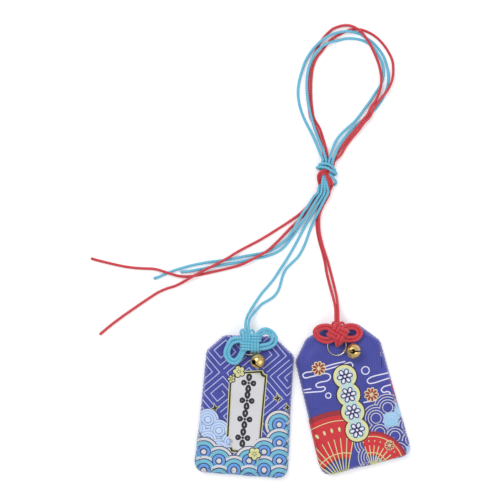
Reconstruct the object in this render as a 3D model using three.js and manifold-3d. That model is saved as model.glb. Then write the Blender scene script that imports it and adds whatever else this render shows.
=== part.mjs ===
// A pair of cloth omamori charms tied together by their cords, lying face up on a table.
// Millimetres, +Z up, +Y towards the hanging loop, the table at Z = 0.
import * as THREE from 'three';
import { mergeVertices } from 'three/addons/utils/BufferGeometryUtils.js';
import Module from 'manifold-3d';

const wasm = await Module();
wasm.setup();

// Clearance and cord
const GAP = 0.3;
const CORD = 1.5;
const CORD_SIDES = 8;
const WELD_DISTANCE = 1e-4;
const STEP_DIAMETERS = 3;

// Pouch of woven brocade
const CLOTH = 0.6;
const POUCH_HEIGHT = 76;
const HEM_WIDTH = 50.4;
const SHOULDER_WIDTH = 48;
const HEM_RADIUS = 5;
const SHOULDER_RADIUS = 4;
const EDGE_ROUND = 3;
const CROWN = 3.4;
const CORNER_STEPS = 3;
const CROWN_STEPS = 3;

// What the pouch holds
const PADDING = 0.9;
const CARD = 1;
const SLIP_WIDTH = 30;
const SLIP_LENGTH = 44;
const SLIP_THICKNESS = 1.8;
const SLIP_ABOVE_HEM = 7;
const SLIP_RADIUS = 1;
const CORD_HOLE_PITCH = 3;
const HOLE_SIDES = 10;

// Decorative knot on the pouch
const KNOT_SIZE = 9.2;
const KNOT_CORE = 2.4;
const KNOT_CORNER = 2.4;
const EAR_SPACE = 0.15;
const EAR_STEPS = 20;
const EAR_SIDES = 6;
const SMALL_LOOP = 1.2;
const SMALL_LOOP_STEPS = 12;
const NECK_BOSS = 2;
const BOSS_SIDES = 20;

// Ring and jingle bell
const RING_RADIUS = 5.1;
const RING_WIRE = 0.7;
const RING_STEPS = 24;
const WIRE_SIDES = 6;
const BELL_RADIUS = 4.1;
const BELL_WALL = 0.4;
const BELL_STEPS = 16;
const BELL_RINGS = 5;
const SLIT_WIDTH = 0.9;
const SLIT_SPAN = 66;
const SLIT_HOLE = 1.1;
const SLIT_FOOT_SHARE = 0.9;
const EYE_WIRE = 0.5;
const EYE_STEPS = 12;
const STEM_RADIUS = 0.5;
const RIVET_RADIUS = 1;
const RIVET_THICKNESS = 0.4;
const PELLET_RADIUS = 1.3;

// Shared knot that ties the four strands into one hanging loop
const TIE_PLACE = new THREE.Vector2(12.1, 120.5);
const TIE_TURN = -8.7;
const TIE_LENGTH = 14.3;
const STRAND_PITCH = 1.8;
const WRAP_COUNT = 4;
const WRAP_TURN = -12;
const WRAP_TOP = 5;
const WRAP_STEPS = 20;
const WRAP_SQUARENESS = 0.7;

// Places of the two charms: pivot is where the neck strands enter the knot, and the rest is
// measured from it along the charm's own axes, with the pouch hanging towards minus V; peaks are
// where its cord draws the pouch's top edge up
const charms = [
  {
    side: 'left',
    cordColour: 0x62b9d3,
    pivot: new THREE.Vector2(-30.8, 36.3),
    turn: -4.6,
    pouch: {
      top: [2.8, -3.1], leftRun: 9.1, leftDrop: 9.2, rightRun: 12, rightDrop: 9.5, lean: 0.7,
      peaks: [],
    },
    knot: { place: [2.5, -6.6], turn: 4 },
    ears: [
      { place: [10.5, -3.9], long: 6.1, short: 6.1, turn: 0 },
      { place: [-5.1, -11.7], long: 7.8, short: 5.4, turn: 64 },
    ],
    smallLoops: [[-2.4, -2], [2.8, -1.9]],
    cordHole: [1.6, -10],
    ring: { place: [2, -8.1], eyeAngle: -45 },
    bell: { heading: -70, slitTurn: -50 },
  },
  {
    side: 'right',
    cordColour: 0xd72d3c,
    pivot: new THREE.Vector2(18.4, 41.8),
    turn: 14.4,
    pouch: {
      top: [-3.6, -5.3], leftRun: 8.7, leftDrop: 10.3, rightRun: 9.8, rightDrop: 12.1, lean: 0.65,
      peaks: [[-4.5, 3]],
    },
    knot: { place: [-1.2, -6.8], turn: -14 },
    ears: [
      { place: [-9, -5.4], long: 5.4, short: 5.1, turn: -14 },
      { place: [6.9, -9.1], long: 5.3, short: 4.8, turn: -14 },
    ],
    smallLoops: [[-2.4, -1.9], [2.3, -2.5]],
    cordHole: [-2.8, -13.5],
    ring: { place: [-3.5, -13.6], eyeAngle: -47 },
    bell: { heading: -14, slitTurn: 90 },
  },
];

// Strand routes on the table, in the order they are followed away from the shared knot: each point
// is X, Y and the height of the cord's middle. from and to are the strand's seats at the knot: the
// column counted from the left, and the upper or lower row. neck is its side of the charm's pivot
const loopStrands = [
  { name: 'cyan_loop_outer', cord: 'left', from: [0, 'upper'], to: [3, 'upper'], points: [
    [9, 134.2, 3.33], [7, 139.2, 2.5], [4.8, 144.1, 1.5], [2.2, 149.1, 0.75], [-0.3, 154.6, 0.75],
    [-2.1, 160.6, 0.75], [-2.8, 166.7, 0.75], [-2.2, 172.7, 0.75], [-0.8, 178.2, 0.75],
    [1.4, 184.3, 0.75], [4.4, 189.2, 1.33], [7.7, 193.1, 2.25], [10.5, 195.5, 2.42], [13.8, 197.7, 2.25],
    [17.6, 199.3, 2.17], [21.5, 200.2, 2.33], [24.8, 200.4, 2.33], [28.1, 200, 1.58], [31.4, 199, 0.75],
    [34.7, 196.9, 0.75], [38.2, 194.5, 0.75], [41.5, 190.9, 0.75], [44.3, 186.7, 0.75],
    [45.9, 182.1, 0.75], [46.9, 177.1, 0.75], [46.8, 172.2, 0.75], [45.7, 167.8, 0.75],
    [43.7, 163.4, 0.75], [40.7, 159, 0.75], [37.4, 155.4, 0.75], [34.1, 152.6, 0.75],
    [30.8, 150.2, 0.75], [27.5, 147.4, 0.75], [24.2, 143.8, 0.75], [21.5, 140.2, 1], [19.2, 136.4, 2],
    [17.6, 132.8, 3],
  ] },
  { name: 'cyan_loop_inner', cord: 'left', from: [1, 'upper'], to: [2, 'upper'], points: [
    [11.2, 134.2, 3.35], [9.2, 139.2, 2.8], [7.1, 144.7, 2.45], [5.3, 150.2, 2.35], [3.9, 155.6, 2.35],
    [2.8, 160.8, 2.35], [2.2, 166.1, 2.3], [2, 171.6, 2.25], [2.4, 177.1, 2.3], [3.6, 182.1, 2.4],
    [5.5, 186.5, 2.42], [8.2, 190, 2.42], [11.6, 192.8, 2.42], [14.9, 194.3, 2.33], [18.7, 195.3, 1.33],
    [23.1, 196.4, 0.75], [27.5, 196.5, 0.75], [31.9, 195.7, 0.75], [35.8, 193.9, 0.75],
    [39.1, 190.9, 0.75], [41.5, 187.3, 0.75], [43.5, 183.2, 0.75], [44.3, 178.2, 0.75],
    [43.8, 173.8, 0.75], [42.1, 170, 0.75], [39.6, 166.4, 0.75], [36.9, 162.2, 0.75],
    [34.1, 158.4, 0.75], [31.1, 154.3, 0.75], [28.1, 150.7, 0.75], [24.8, 147.7, 0.75],
    [21.5, 144.7, 0.92], [18.4, 140.8, 1.33], [16.7, 137.2, 2.1], [15.3, 133, 3.1],
  ] },
  { name: 'red_loop_outer', cord: 'right', from: [0, 'lower'], to: [2, 'lower'], points: [
    [10.8, 135.6, 1.4], [9.4, 141.3, 0.8], [7.3, 147, 0.75], [4.3, 152.7, 0.75], [3.25, 158.4, 0.75],
    [2.8, 165, 0.75], [2.7, 170, 0.75], [2.95, 175.4, 0.75], [3.8, 181.1, 0.75], [5.5, 186.2, 0.75],
    [7.2, 190, 0.75], [9, 193.6, 0.75], [11, 196.6, 0.75], [13.5, 199.4, 0.75], [16.5, 201.9, 0.75],
    [19.8, 203.2, 0.75], [23.1, 203.8, 1.17], [26.4, 203.4, 2.08], [29.4, 202, 2.42],
    [32.2, 199.7, 2.42], [34.7, 196.6, 2.42], [36.9, 193.1, 2.42], [38.7, 189.5, 2.25],
    [40.3, 185.9, 1.7], [41.7, 182.1, 1.2], [42.6, 178.2, 1.2], [43, 174.4, 2.2], [42.7, 170.5, 2.4],
    [41.6, 166.5, 2.3], [40, 162.5, 2.3], [37.5, 159.1, 2.3], [35.5, 154.9, 2.35], [32.1, 150.9, 2.35],
    [29.2, 146.9, 2.25], [25.8, 142.9, 1.5], [22.4, 138.4, 1.1], [19.4, 134, 1.2], [17.2, 131.2, 1.7],
  ] },
  { name: 'red_loop_inner', cord: 'right', from: [1, 'lower'], to: [3, 'lower'], points: [
    [12.6, 135.6, 1.6], [11.1, 141.3, 0.85], [9.2, 147, 0.75], [6.05, 152.7, 0.75], [4.95, 158.4, 0.75],
    [4.45, 165, 0.75], [4.4, 170, 0.75], [4.65, 175.4, 0.75], [5.55, 181.1, 0.75], [7.75, 186.3, 0.75],
    [10.3, 189.5, 0.75], [12.8, 192.9, 0.75], [15.4, 195.8, 0.75], [18.2, 197.7, 0.75],
    [20.9, 199.1, 0.75], [23.7, 200.5, 0.75], [26.4, 201.4, 0.75], [29.7, 201.7, 0.75],
    [33, 201.1, 0.75], [36.9, 199.5, 0.75], [40.7, 196.9, 0.75], [44.3, 193.1, 0.75],
    [47.2, 188.7, 0.75], [49.1, 184.3, 0.75], [49.6, 179.9, 0.9], [49.3, 175.5, 1.8], [48.1, 171.3, 2.4],
    [46, 167.5, 2.4], [43.2, 164, 2.35], [40.6, 160.8, 2.35], [38.6, 157.7, 2.35], [36.9, 153.8, 2.35],
    [33.3, 149.9, 2.35], [30.4, 145.9, 2.1], [27, 141.9, 1.3], [23.6, 137.4, 1.1], [20.7, 132.6, 1.5],
  ] },
];
const neckStrands = [
  { name: 'cyan_neck_left', cord: 'left', from: [2, 'upper'], neck: -1, points: [
    [9.9, 108.4, 3], [7.4, 104, 2.17], [4.7, 99.6, 1.42], [2.1, 95.2, 0.83], [-0.6, 90.2, 0.75],
    [-3.3, 85, 0.75], [-6.2, 79.8, 0.75], [-9.4, 74.5, 0.75], [-12.7, 69.6, 0.75], [-15.7, 64.9, 0.75],
    [-19.2, 60.5, 0.75], [-22.4, 56.9, 0.75], [-24.9, 53.4, 0.75], [-27.1, 50.1, 1], [-29, 47, 1.83],
    [-30.6, 44, 3.25], [-31.6, 41.2, 5.8], [-31.8, 38.8, 7.6],
  ] },
  { name: 'cyan_neck_right', cord: 'left', from: [3, 'upper'], neck: 1, points: [
    [11.8, 108.1, 3.3], [9.4, 103.4, 3.1], [7.2, 99, 2.6], [5.1, 94.6, 1.33], [3.3, 89.9, 0.75],
    [1.7, 85.2, 0.75], [-0.3, 80.6, 0.75], [-2.8, 76.5, 0.75], [-6.1, 73.2, 0.75], [-9.1, 70.1, 0.75],
    [-11, 66.6, 0.75], [-12.1, 62.7, 0.75], [-13.4, 58.6, 0.75], [-15.8, 55, 0.75], [-19.2, 52.6, 0.75],
    [-22.6, 50.6, 0.75], [-25, 48.1, 1], [-27.2, 45.5, 2.17], [-29, 42.9, 4.6], [-29.6, 40.7, 6.2],
    [-29.8, 38.8, 7.6],
  ] },
  { name: 'red_neck_left', cord: 'right', from: [2, 'lower'], neck: -1, points: [
    [11, 108.4, 1.5], [9, 104, 0.95], [7.8, 99.6, 0.75], [7.6, 94.6, 0.75], [8, 89.7, 0.75],
    [9.2, 84.2, 0.75], [10.8, 78.7, 0.75], [12.1, 73.2, 0.75], [13, 67.7, 0.75], [14.2, 62.7, 0.75],
    [15.5, 57.8, 1.1], [16.7, 53.4, 2.6], [17.3, 49.5, 4.6], [17.5, 46.8, 6.2], [17.5, 44.3, 7.7],
  ] },
  { name: 'red_neck_right', cord: 'right', from: [3, 'lower'], neck: 1, points: [
    [13, 108.4, 1.8], [10.6, 104, 1.6], [9, 99.6, 1.9], [8.7, 94.6, 2], [9.1, 89.7, 2],
    [10.3, 84.2, 2], [12, 78.7, 1.9], [13.7, 73.7, 1.3], [15, 68.8, 0.8], [16.3, 63.8, 0.75],
    [17.5, 58.9, 1.1], [18.5, 53.9, 2.6], [19.1, 49.5, 4.6], [19.3, 46.8, 6.2], [19.3, 44.3, 7.7],
  ] },
];
const tailStrands = [
  { name: 'cyan_tail_long', cord: 'left', from: [0, 'upper'], points: [
    [5.8, 109.5, 3.17], [3.3, 105.6, 2.75], [0.7, 101.8, 2.5], [-1.7, 97.9, 2.42], [-3.9, 94.1, 2.42],
    [-5.9, 90.5, 2.25], [-8.2, 87.2, 1.58], [-11.3, 84.3, 0.83], [-14.6, 81.8, 0.75],
    [-18.2, 79.9, 0.75], [-22, 78.7, 0.75], [-26.4, 77.9, 0.75], [-31.4, 77, 0.75], [-36.3, 75.9, 0.75],
    [-41.2, 75, 0.75], [-46.2, 74.4, 0.75], [-51.7, 73.7, 0.75], [-57.2, 72.7, 0.75],
    [-62.2, 71.6, 0.75], [-66.6, 70.4, 0.75], [-71, 69, 0.75], [-75.4, 67.2, 0.75], [-78.7, 65.7, 0.75],
    [-82, 64.6, 0.75],
  ] },
  { name: 'cyan_tail_short', cord: 'left', from: [1, 'upper'], points: [
    [8, 108.9, 3.17], [5.5, 104.8, 2.67], [2.9, 100.7, 2.42], [0.2, 96.5, 2], [-2.5, 92.4, 1.17],
    [-5.2, 88.6, 0.75], [-7.7, 85.2, 0.75], [-10.3, 82.1, 0.75], [-13.8, 79.4, 0.75],
    [-17.6, 77.7, 0.75], [-21.5, 76.5, 0.75], [-25.9, 75.7, 0.75], [-30.3, 74.8, 0.75],
    [-35.2, 73.7, 0.75], [-40.2, 72.8, 0.75], [-45.1, 71.9, 0.75], [-50.1, 71.1, 0.75],
    [-54.5, 70.1, 0.75], [-58.9, 69.3, 0.75], [-63.3, 68.5, 0.75], [-67.4, 68.2, 0.75],
  ] },
  { name: 'red_tail_upper', cord: 'right', from: [1, 'lower'], points: [
    [8.2, 108.4, 1.5], [5.2, 104.5, 0.92], [1.9, 100.9, 0.75], [-1.4, 97.6, 0.75], [-4.4, 94.7, 0.75],
    [-7.4, 91.9, 0.75], [-10.7, 88.4, 0.75], [-13.8, 85.2, 1], [-16.8, 82.3, 1.83], [-19.5, 80, 2.33],
    [-22.6, 78.1, 2.33], [-25.9, 76.3, 2.33], [-29.2, 74.5, 2.5], [-32.7, 72.8, 1.92], [-36.9, 71.3, 1],
    [-41.2, 70.2, 0.75], [-46.2, 69, 0.75], [-51.2, 67.9, 0.75], [-56.1, 66.8, 0.75], [-60.5, 66, 0.75],
    [-64.9, 65.7, 0.75], [-68.8, 66.1, 1.25], [-72.3, 67.1, 2.42], [-75.1, 68, 2.5], [-78.1, 69, 2],
    [-82, 69.9, 1], [-86.4, 70.1, 0.75], [-91.9, 70.4, 0.75], [-97.4, 71.1, 0.75], [-102.9, 72.2, 0.75],
    [-108.4, 73.5, 0.75], [-112.8, 74.6, 0.75], [-116.6, 75.7, 0.75],
  ] },
  { name: 'red_tail_lower', cord: 'right', from: [0, 'lower'], points: [
    [6.6, 109.2, 1.42], [3.9, 105.6, 0.83], [0.8, 102.6, 0.75], [-2.2, 99.8, 0.75], [-5.5, 97.4, 0.75],
    [-9.4, 94.7, 0.75], [-13.8, 91.9, 0.75], [-18.7, 88.8, 0.75], [-23.7, 85.8, 0.75],
    [-28.6, 83.2, 0.75], [-33, 80.9, 0.92], [-37.4, 78.4, 2], [-41.2, 76, 2.42], [-45.4, 73.7, 2.33],
    [-49.5, 71.5, 2.33], [-53.4, 69.7, 2.33], [-56.9, 67.8, 2.33], [-60.2, 66, 2.42], [-63.3, 64.2, 2],
    [-66.6, 62.3, 1.17], [-70.4, 60.5, 0.75], [-75.4, 58.9, 0.75], [-79.8, 56.9, 0.75],
    [-84.2, 54.1, 0.75], [-89.7, 50.4, 0.75], [-95.2, 46.6, 0.75], [-100.7, 42.7, 0.75],
    [-106.2, 38.5, 0.75], [-111.8, 33.8, 0.75],
  ] },
];

// Heights through a pouch and the pieces lying on it, from the table up
const seam = CLOTH + GAP;
const hollow = Math.max(CORD, SLIP_THICKNESS) + 2 * GAP;
const cardBase = CLOTH + hollow;
const paddingBase = cardBase + CARD + GAP;
const frontUnder = paddingBase + PADDING + GAP;
const face = frontUnder + CLOTH;
const bightHeight = CLOTH + GAP + CORD / 2;
const eyeHole = RING_WIRE / 2 + GAP;
const ringLow = face + GAP + RING_WIRE / 2;
const ringHigh = face + GAP + EYE_WIRE + eyeHole;
const knotBase = ringHigh + RING_WIRE / 2 + GAP;
const knotTop = knotBase + KNOT_CORE;
const neckHeight = knotBase + CORD / 2;
const innerInset = EDGE_ROUND + CLOTH + GAP;

// Sizes along a bell's axis, from the middle of the ring's wire
const eyeMean = eyeHole + EYE_WIRE / 2;
const bellCentre = eyeHole + EYE_WIRE + GAP + BELL_RADIUS;
const bellInside = BELL_RADIUS - BELL_WALL;
const rivetStart = bellCentre - bellInside + GAP;
const rivetEnd = rivetStart + RIVET_THICKNESS;
const pelletPlace = rivetEnd + GAP + PELLET_RADIUS;
const bellLift = Math.asin((face + GAP + BELL_RADIUS - ringHigh) / bellCentre);
const ringTilt = Math.asin((ringHigh - ringLow) / (2 * RING_RADIUS));

// Sizes through the shared knot
const lowerRow = CORD + CORD / 2;
const upperRow = lowerRow + Math.sqrt(STRAND_PITCH ** 2 - (STRAND_PITCH / 2) ** 2);
const tieColumns = 4;
const tieHalfWidth = (tieColumns / 2 + 0.25) * STRAND_PITCH;
const tieMiddle = STRAND_PITCH / 4;
const wrapMid = (lowerRow + upperRow) / 2;
const wrapHalfWidth = tieHalfWidth + CORD / 4;
const wrapHalfHeight = wrapMid - CORD / 2;

const radians = THREE.MathUtils.degToRad;

// Turns a closed geometry into a solid for joining and cutting
function solid(geometry) {
  const bare = geometry.clone();
  bare.deleteAttribute('normal');
  bare.deleteAttribute('uv');
  const merged = mergeVertices(bare, WELD_DISTANCE);
  return new wasm.Manifold(new wasm.Mesh({
    numProp: 3,
    vertProperties: Float32Array.from(merged.attributes.position.array),
    triVerts: Uint32Array.from(merged.index.array),
  }));
}

// Turns a solid back into a geometry
function geometryOf(body) {
  const surface = body.getMesh();
  const geometry = new THREE.BufferGeometry();
  geometry.setAttribute('position', new THREE.BufferAttribute(Float32Array.from(surface.vertProperties), 3));
  geometry.setIndex(new THREE.BufferAttribute(Uint32Array.from(surface.triVerts), 1));
  geometry.computeVertexNormals();
  return geometry;
}

function joined(geometries) {
  return geometries.map(solid).reduce((whole, part) => whole.add(part));
}

function piece(name, geometry, colour, roughness, metalness) {
  const finish = new THREE.MeshStandardMaterial({ color: colour, roughness, metalness });
  const mesh = new THREE.Mesh(geometry, finish);
  mesh.name = name;
  return mesh;
}

const brocade = (name, geometry) => piece(name, geometry, 0x3e40a0, 0.75, 0);
const felt = (name, geometry) => piece(name, geometry, 0xe8e4da, 0.95, 0);
const card = (name, geometry) => piece(name, geometry, 0xcbb994, 0.9, 0);
const paper = (name, geometry) => piece(name, geometry, 0xf1ead8, 0.9, 0);
const brass = (name, geometry) => piece(name, geometry, 0xc9a45a, 0.3, 1);
const braid = (name, geometry, colour) => piece(name, geometry, colour, 0.7, 0);

// Outline helpers: a convex outline runs anticlockwise
function insetCorners(corners, inset) {
  return corners.map((corner, i) => {
    const before = corners[(i + corners.length - 1) % corners.length];
    const after = corners[(i + 1) % corners.length];
    const along = corner.clone().sub(before).normalize();
    const onward = after.clone().sub(corner).normalize();
    const inA = new THREE.Vector2(-along.y, along.x);
    const inB = new THREE.Vector2(-onward.y, onward.x);
    const share = inset / (1 + inA.dot(inB));
    return corner.clone().add(inA.add(inB).multiplyScalar(share));
  });
}

function roundedOutline(corners, radii, steps) {
  const points = [];
  corners.forEach((corner, i) => {
    const before = corners[(i + corners.length - 1) % corners.length];
    const after = corners[(i + 1) % corners.length];
    const along = corner.clone().sub(before).normalize();
    const onward = after.clone().sub(corner).normalize();
    const turn = Math.acos(THREE.MathUtils.clamp(along.dot(onward), -1, 1));
    const reach = radii[i] * Math.tan(turn / 2);
    const start = corner.clone().addScaledVector(along, -reach);
    const centre = start.clone().add(new THREE.Vector2(-along.y, along.x).multiplyScalar(radii[i]));
    for (let k = 0; k <= steps; k += 1) {
      points.push(start.clone().rotateAround(centre, (turn * k) / steps));
    }
  });
  return points;
}

function rectangle(width, length, radius) {
  const x = width / 2;
  const y = length / 2;
  const corners = [[-x, -y], [x, -y], [x, y], [-x, y]].map(([u, v]) => new THREE.Vector2(u, v));
  return roundedOutline(corners, corners.map(() => radius), CORNER_STEPS);
}

function slab(points, depth, holes = []) {
  const shape = new THREE.Shape(points);
  holes.forEach((hole) => shape.holes.push(new THREE.Path(hole)));
  return new THREE.ExtrudeGeometry(shape, { depth, bevelEnabled: false });
}

function circle(centre, radius, sides) {
  return Array.from({ length: sides }, (_, i) => {
    const angle = (2 * Math.PI * i) / sides;
    return new THREE.Vector2(centre.x + radius * Math.cos(angle), centre.y + radius * Math.sin(angle));
  });
}

// A straight run of cord with round ends
function rod(start, end, radius = CORD / 2) {
  const span = end.clone().sub(start);
  const geometry = new THREE.CapsuleGeometry(radius, span.length(), 2, EAR_SIDES);
  const turn = new THREE.Quaternion().setFromUnitVectors(new THREE.Vector3(0, 1, 0), span.normalize());
  geometry.applyQuaternion(turn);
  const middle = start.clone().add(end).multiplyScalar(0.5);
  return geometry.translate(middle.x, middle.y, middle.z);
}

function upright(centre, radius, low, high, sides) {
  const geometry = new THREE.CylinderGeometry(radius, radius, high - low, sides);
  return geometry.rotateX(Math.PI / 2).translate(centre.x, centre.y, (low + high) / 2);
}

const at = ([u, v], height) => new THREE.Vector3(u, v, height);

// Pouch outline about the middle of its top edge, from the hem's left corner
function pouchCorners({ leftRun, leftDrop, rightRun, rightDrop, lean, peaks }) {
  const hem = HEM_WIDTH / 2;
  const shoulder = SHOULDER_WIDTH / 2;
  return [
    [-hem, -POUCH_HEIGHT],
    [hem, -POUCH_HEIGHT],
    [shoulder, lean - rightDrop],
    [shoulder - rightRun, lean],
    ...peaks,
    [leftRun - shoulder, -lean],
    [-shoulder, -lean - leftDrop],
  ].map(([u, v]) => new THREE.Vector2(u, v));
}

function pouchOutline(pouch, inset = 0) {
  const corners = insetCorners(pouchCorners(pouch), inset);
  const radii = corners.map((_, i) => (i < 2 ? HEM_RADIUS : SHOULDER_RADIUS));
  return roundedOutline(corners, radii.map((radius) => Math.max(radius - inset, CLOTH)), CORNER_STEPS);
}

// A cushion-shaped body whose widest line lies on the seam
function cushion(points, height) {
  const depth = 2 * (height - CROWN);
  const geometry = new THREE.ExtrudeGeometry(new THREE.Shape(points), {
    depth,
    bevelThickness: CROWN,
    bevelSize: EDGE_ROUND,
    bevelOffset: -EDGE_ROUND,
    bevelSegments: CROWN_STEPS,
  });
  return geometry.translate(0, 0, seam - depth / 2);
}

function frontPanel({ pouch }, cordHoles) {
  const below = new THREE.BoxGeometry(2 * HEM_WIDTH, 3 * POUCH_HEIGHT, face);
  below.translate(0, 0, seam - face / 2);
  let shell = solid(cushion(pouchOutline(pouch), face - seam));
  shell = shell.subtract(solid(cushion(pouchOutline(pouch, CLOTH), frontUnder - seam)));
  shell = shell.subtract(solid(below));
  cordHoles.forEach((hole) => {
    shell = shell.subtract(solid(upright(hole, CORD / 2 + GAP, seam, face + GAP, HOLE_SIDES)));
  });
  return geometryOf(shell);
}

// The pouch with its filling, placed about the middle of its top edge
function makePouch(charm) {
  const { side, pouch } = charm;
  const group = new THREE.Group();
  group.position.set(pouch.top[0], pouch.top[1], 0);
  const hole = new THREE.Vector2(...charm.cordHole).sub(new THREE.Vector2(...pouch.top));
  const holes = [-1, 1].map((way) => hole.clone().add(new THREE.Vector2((way * CORD_HOLE_PITCH) / 2, 0)));
  const bores = holes.map((centre) => circle(centre, CORD / 2 + GAP, HOLE_SIDES));
  const inner = pouchOutline(pouch, innerInset);

  group.add(brocade(`${side}_back_panel`, slab(pouchOutline(pouch), CLOTH)));
  group.add(brocade(`${side}_front_panel`, frontPanel(charm, holes)));

  const stiffener = card(`${side}_stiffener_card`, slab(inner, CARD, bores));
  stiffener.position.z = cardBase;
  group.add(stiffener);

  const pad = felt(`${side}_padding`, slab(inner, PADDING, bores));
  pad.position.z = paddingBase;
  group.add(pad);

  const folded = rectangle(SLIP_WIDTH, SLIP_LENGTH, SLIP_RADIUS);
  const slip = paper(`${side}_prayer_slip`, slab(folded, SLIP_THICKNESS));
  slip.position.set(0, SLIP_ABOVE_HEM + SLIP_LENGTH / 2 - POUCH_HEIGHT, CLOTH + GAP);
  group.add(slip);
  return group;
}

// One strand of an ear: an oval loop that slopes from the knot down to the pouch
class EarLoop extends THREE.Curve {
  constructor(ear, knot, shrink) {
    super();
    this.ear = ear;
    this.long = ear.long - shrink;
    this.short = ear.short - shrink;
    this.middle = new THREE.Vector2(...ear.place);
    this.outward = this.middle.clone().sub(new THREE.Vector2(...knot.place)).normalize();
    const reach = Math.max(ear.long, ear.short);
    this.farHeight = face + GAP + CORD / 2;
    this.slope = (neckHeight + GAP - this.farHeight) / (2 * reach);
    this.reach = reach;
  }

  getPoint(t) {
    const angle = 2 * Math.PI * t;
    const offset = new THREE.Vector2(this.long * Math.cos(angle), this.short * Math.sin(angle));
    offset.rotateAround(new THREE.Vector2(), radians(this.ear.turn));
    const height = this.farHeight + this.slope * (this.reach - offset.dot(this.outward));
    return new THREE.Vector3(this.middle.x + offset.x, this.middle.y + offset.y, height);
  }
}

function knotCore({ place, turn }) {
  const geometry = slab(rectangle(KNOT_SIZE, KNOT_SIZE, KNOT_CORNER), KNOT_CORE);
  return geometry.rotateZ(radians(turn)).translate(place[0], place[1], knotBase);
}

// Four pairs of strands laid round the knot like a pinwheel
function pinwheel({ place, turn }) {
  const quarter = KNOT_SIZE / 4;
  const half = quarter - CORD / 4;
  const rods = [];
  for (let k = 0; k < 4; k += 1) {
    for (const way of [-1, 1]) {
      const row = quarter + (way * (CORD + EAR_SPACE)) / 2;
      const ends = [quarter - half, quarter + half].map((along) => {
        const spot = new THREE.Vector2(along, row).rotateAround(new THREE.Vector2(), radians(turn + 90 * k));
        return new THREE.Vector3(place[0] + spot.x, place[1] + spot.y, knotTop);
      });
      rods.push(rod(ends[0], ends[1]));
    }
  }
  return rods;
}

function decorativeKnot(charm) {
  const { knot, ears, smallLoops, cordHole } = charm;
  const parts = [knotCore(knot), ...pinwheel(knot)];
  parts.push(upright(new THREE.Vector2(), NECK_BOSS, knotBase, knotTop, BOSS_SIDES));
  for (const ear of ears) {
    for (const shrink of [0, CORD + EAR_SPACE]) {
      const loop = new EarLoop(ear, knot, shrink);
      parts.push(new THREE.TubeGeometry(loop, EAR_STEPS, CORD / 2, EAR_SIDES, true));
    }
  }
  for (const spot of smallLoops) {
    const loop = new THREE.TorusGeometry(SMALL_LOOP, CORD / 2, EAR_SIDES, SMALL_LOOP_STEPS);
    parts.push(loop.translate(spot[0], spot[1], neckHeight));
  }
  const below = KNOT_SIZE / 2 - CORD;
  for (const way of [-1, 1]) {
    const across = (way * CORD_HOLE_PITCH) / 2;
    const neckEnd = at([way * (NECK_BOSS - CORD / 2), 0], neckHeight);
    const neckFoot = at([knot.place[0] + across, knot.place[1] + below], neckHeight);
    parts.push(rod(neckEnd, neckFoot));
    const leaving = at([knot.place[0] + across, knot.place[1] - below], neckHeight);
    const diving = at([cordHole[0] + across, cordHole[1]], neckHeight);
    const inside = at([cordHole[0] + across, cordHole[1]], bightHeight);
    parts.push(rod(leaving, diving), rod(diving, inside));
  }
  const bightEnds = [-1, 1].map((way) => (
    at([cordHole[0] + (way * CORD_HOLE_PITCH) / 2, cordHole[1]], bightHeight)
  ));
  parts.push(rod(bightEnds[0], bightEnds[1]));
  return geometryOf(joined(parts));
}

// Half shells of the bell, from the equator to a pole, about the bell's centre
function shellProfile(outer, inner, fromAngle, toAngle) {
  const arc = (radius, from, to) => Array.from({ length: BELL_RINGS + 1 }, (_, i) => {
    const angle = from + ((to - from) * i) / BELL_RINGS;
    return new THREE.Vector2(radius * Math.cos(angle), radius * Math.sin(angle));
  });
  return [...arc(outer, fromAngle, toAngle), ...arc(inner, toAngle, fromAngle)];
}

function turned(profile) {
  return new THREE.LatheGeometry(profile, BELL_STEPS).rotateX(Math.PI / 2);
}

function bellCrown() {
  const seamAngle = Math.asin(GAP / 2 / BELL_RADIUS);
  const holeAngle = Math.acos((STEM_RADIUS + GAP) / bellInside);
  const profile = shellProfile(BELL_RADIUS, bellInside, -holeAngle, -seamAngle);
  return turned([...profile, profile[0].clone()]).translate(0, 0, bellCentre);
}

function bellBowl(slitAngle) {
  const seamAngle = Math.asin(GAP / 2 / BELL_RADIUS);
  const profile = shellProfile(BELL_RADIUS, bellInside, seamAngle, Math.PI / 2);
  const middle = BELL_RINGS;
  profile[middle].x = 0;
  profile[middle + 1].x = 0;
  const ordered = [...profile.slice(middle + 1), ...profile.slice(0, middle + 1)];
  const span = radians(SLIT_SPAN);
  const slit = new THREE.BoxGeometry(2 * BELL_RADIUS * Math.sin(span), SLIT_WIDTH, BELL_RADIUS);
  slit.translate(0, 0, BELL_RADIUS * (0.5 + Math.cos(span) * SLIT_FOOT_SHARE));
  let shell = solid(turned(ordered)).subtract(solid(slit));
  for (const way of [-1, 1]) {
    const hole = new THREE.CylinderGeometry(SLIT_HOLE, SLIT_HOLE, BELL_RADIUS, HOLE_SIDES);
    hole.rotateX(Math.PI / 2).translate(0, 0, BELL_RADIUS).rotateY(way * span);
    shell = shell.subtract(solid(hole));
  }
  return geometryOf(shell).rotateZ(slitAngle).translate(0, 0, bellCentre);
}

function bellEye() {
  const loop = new THREE.TorusGeometry(eyeMean, EYE_WIRE / 2, WIRE_SIDES, EYE_STEPS).rotateY(Math.PI / 2);
  const stem = upright(new THREE.Vector2(), STEM_RADIUS, eyeMean, rivetEnd, HOLE_SIDES);
  const rivet = upright(new THREE.Vector2(), RIVET_RADIUS, rivetStart, rivetEnd, HOLE_SIDES);
  return geometryOf(joined([loop, stem, rivet]));
}

function bellPellet() {
  return new THREE.IcosahedronGeometry(PELLET_RADIUS, 1).translate(0, 0, pelletPlace);
}

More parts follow.
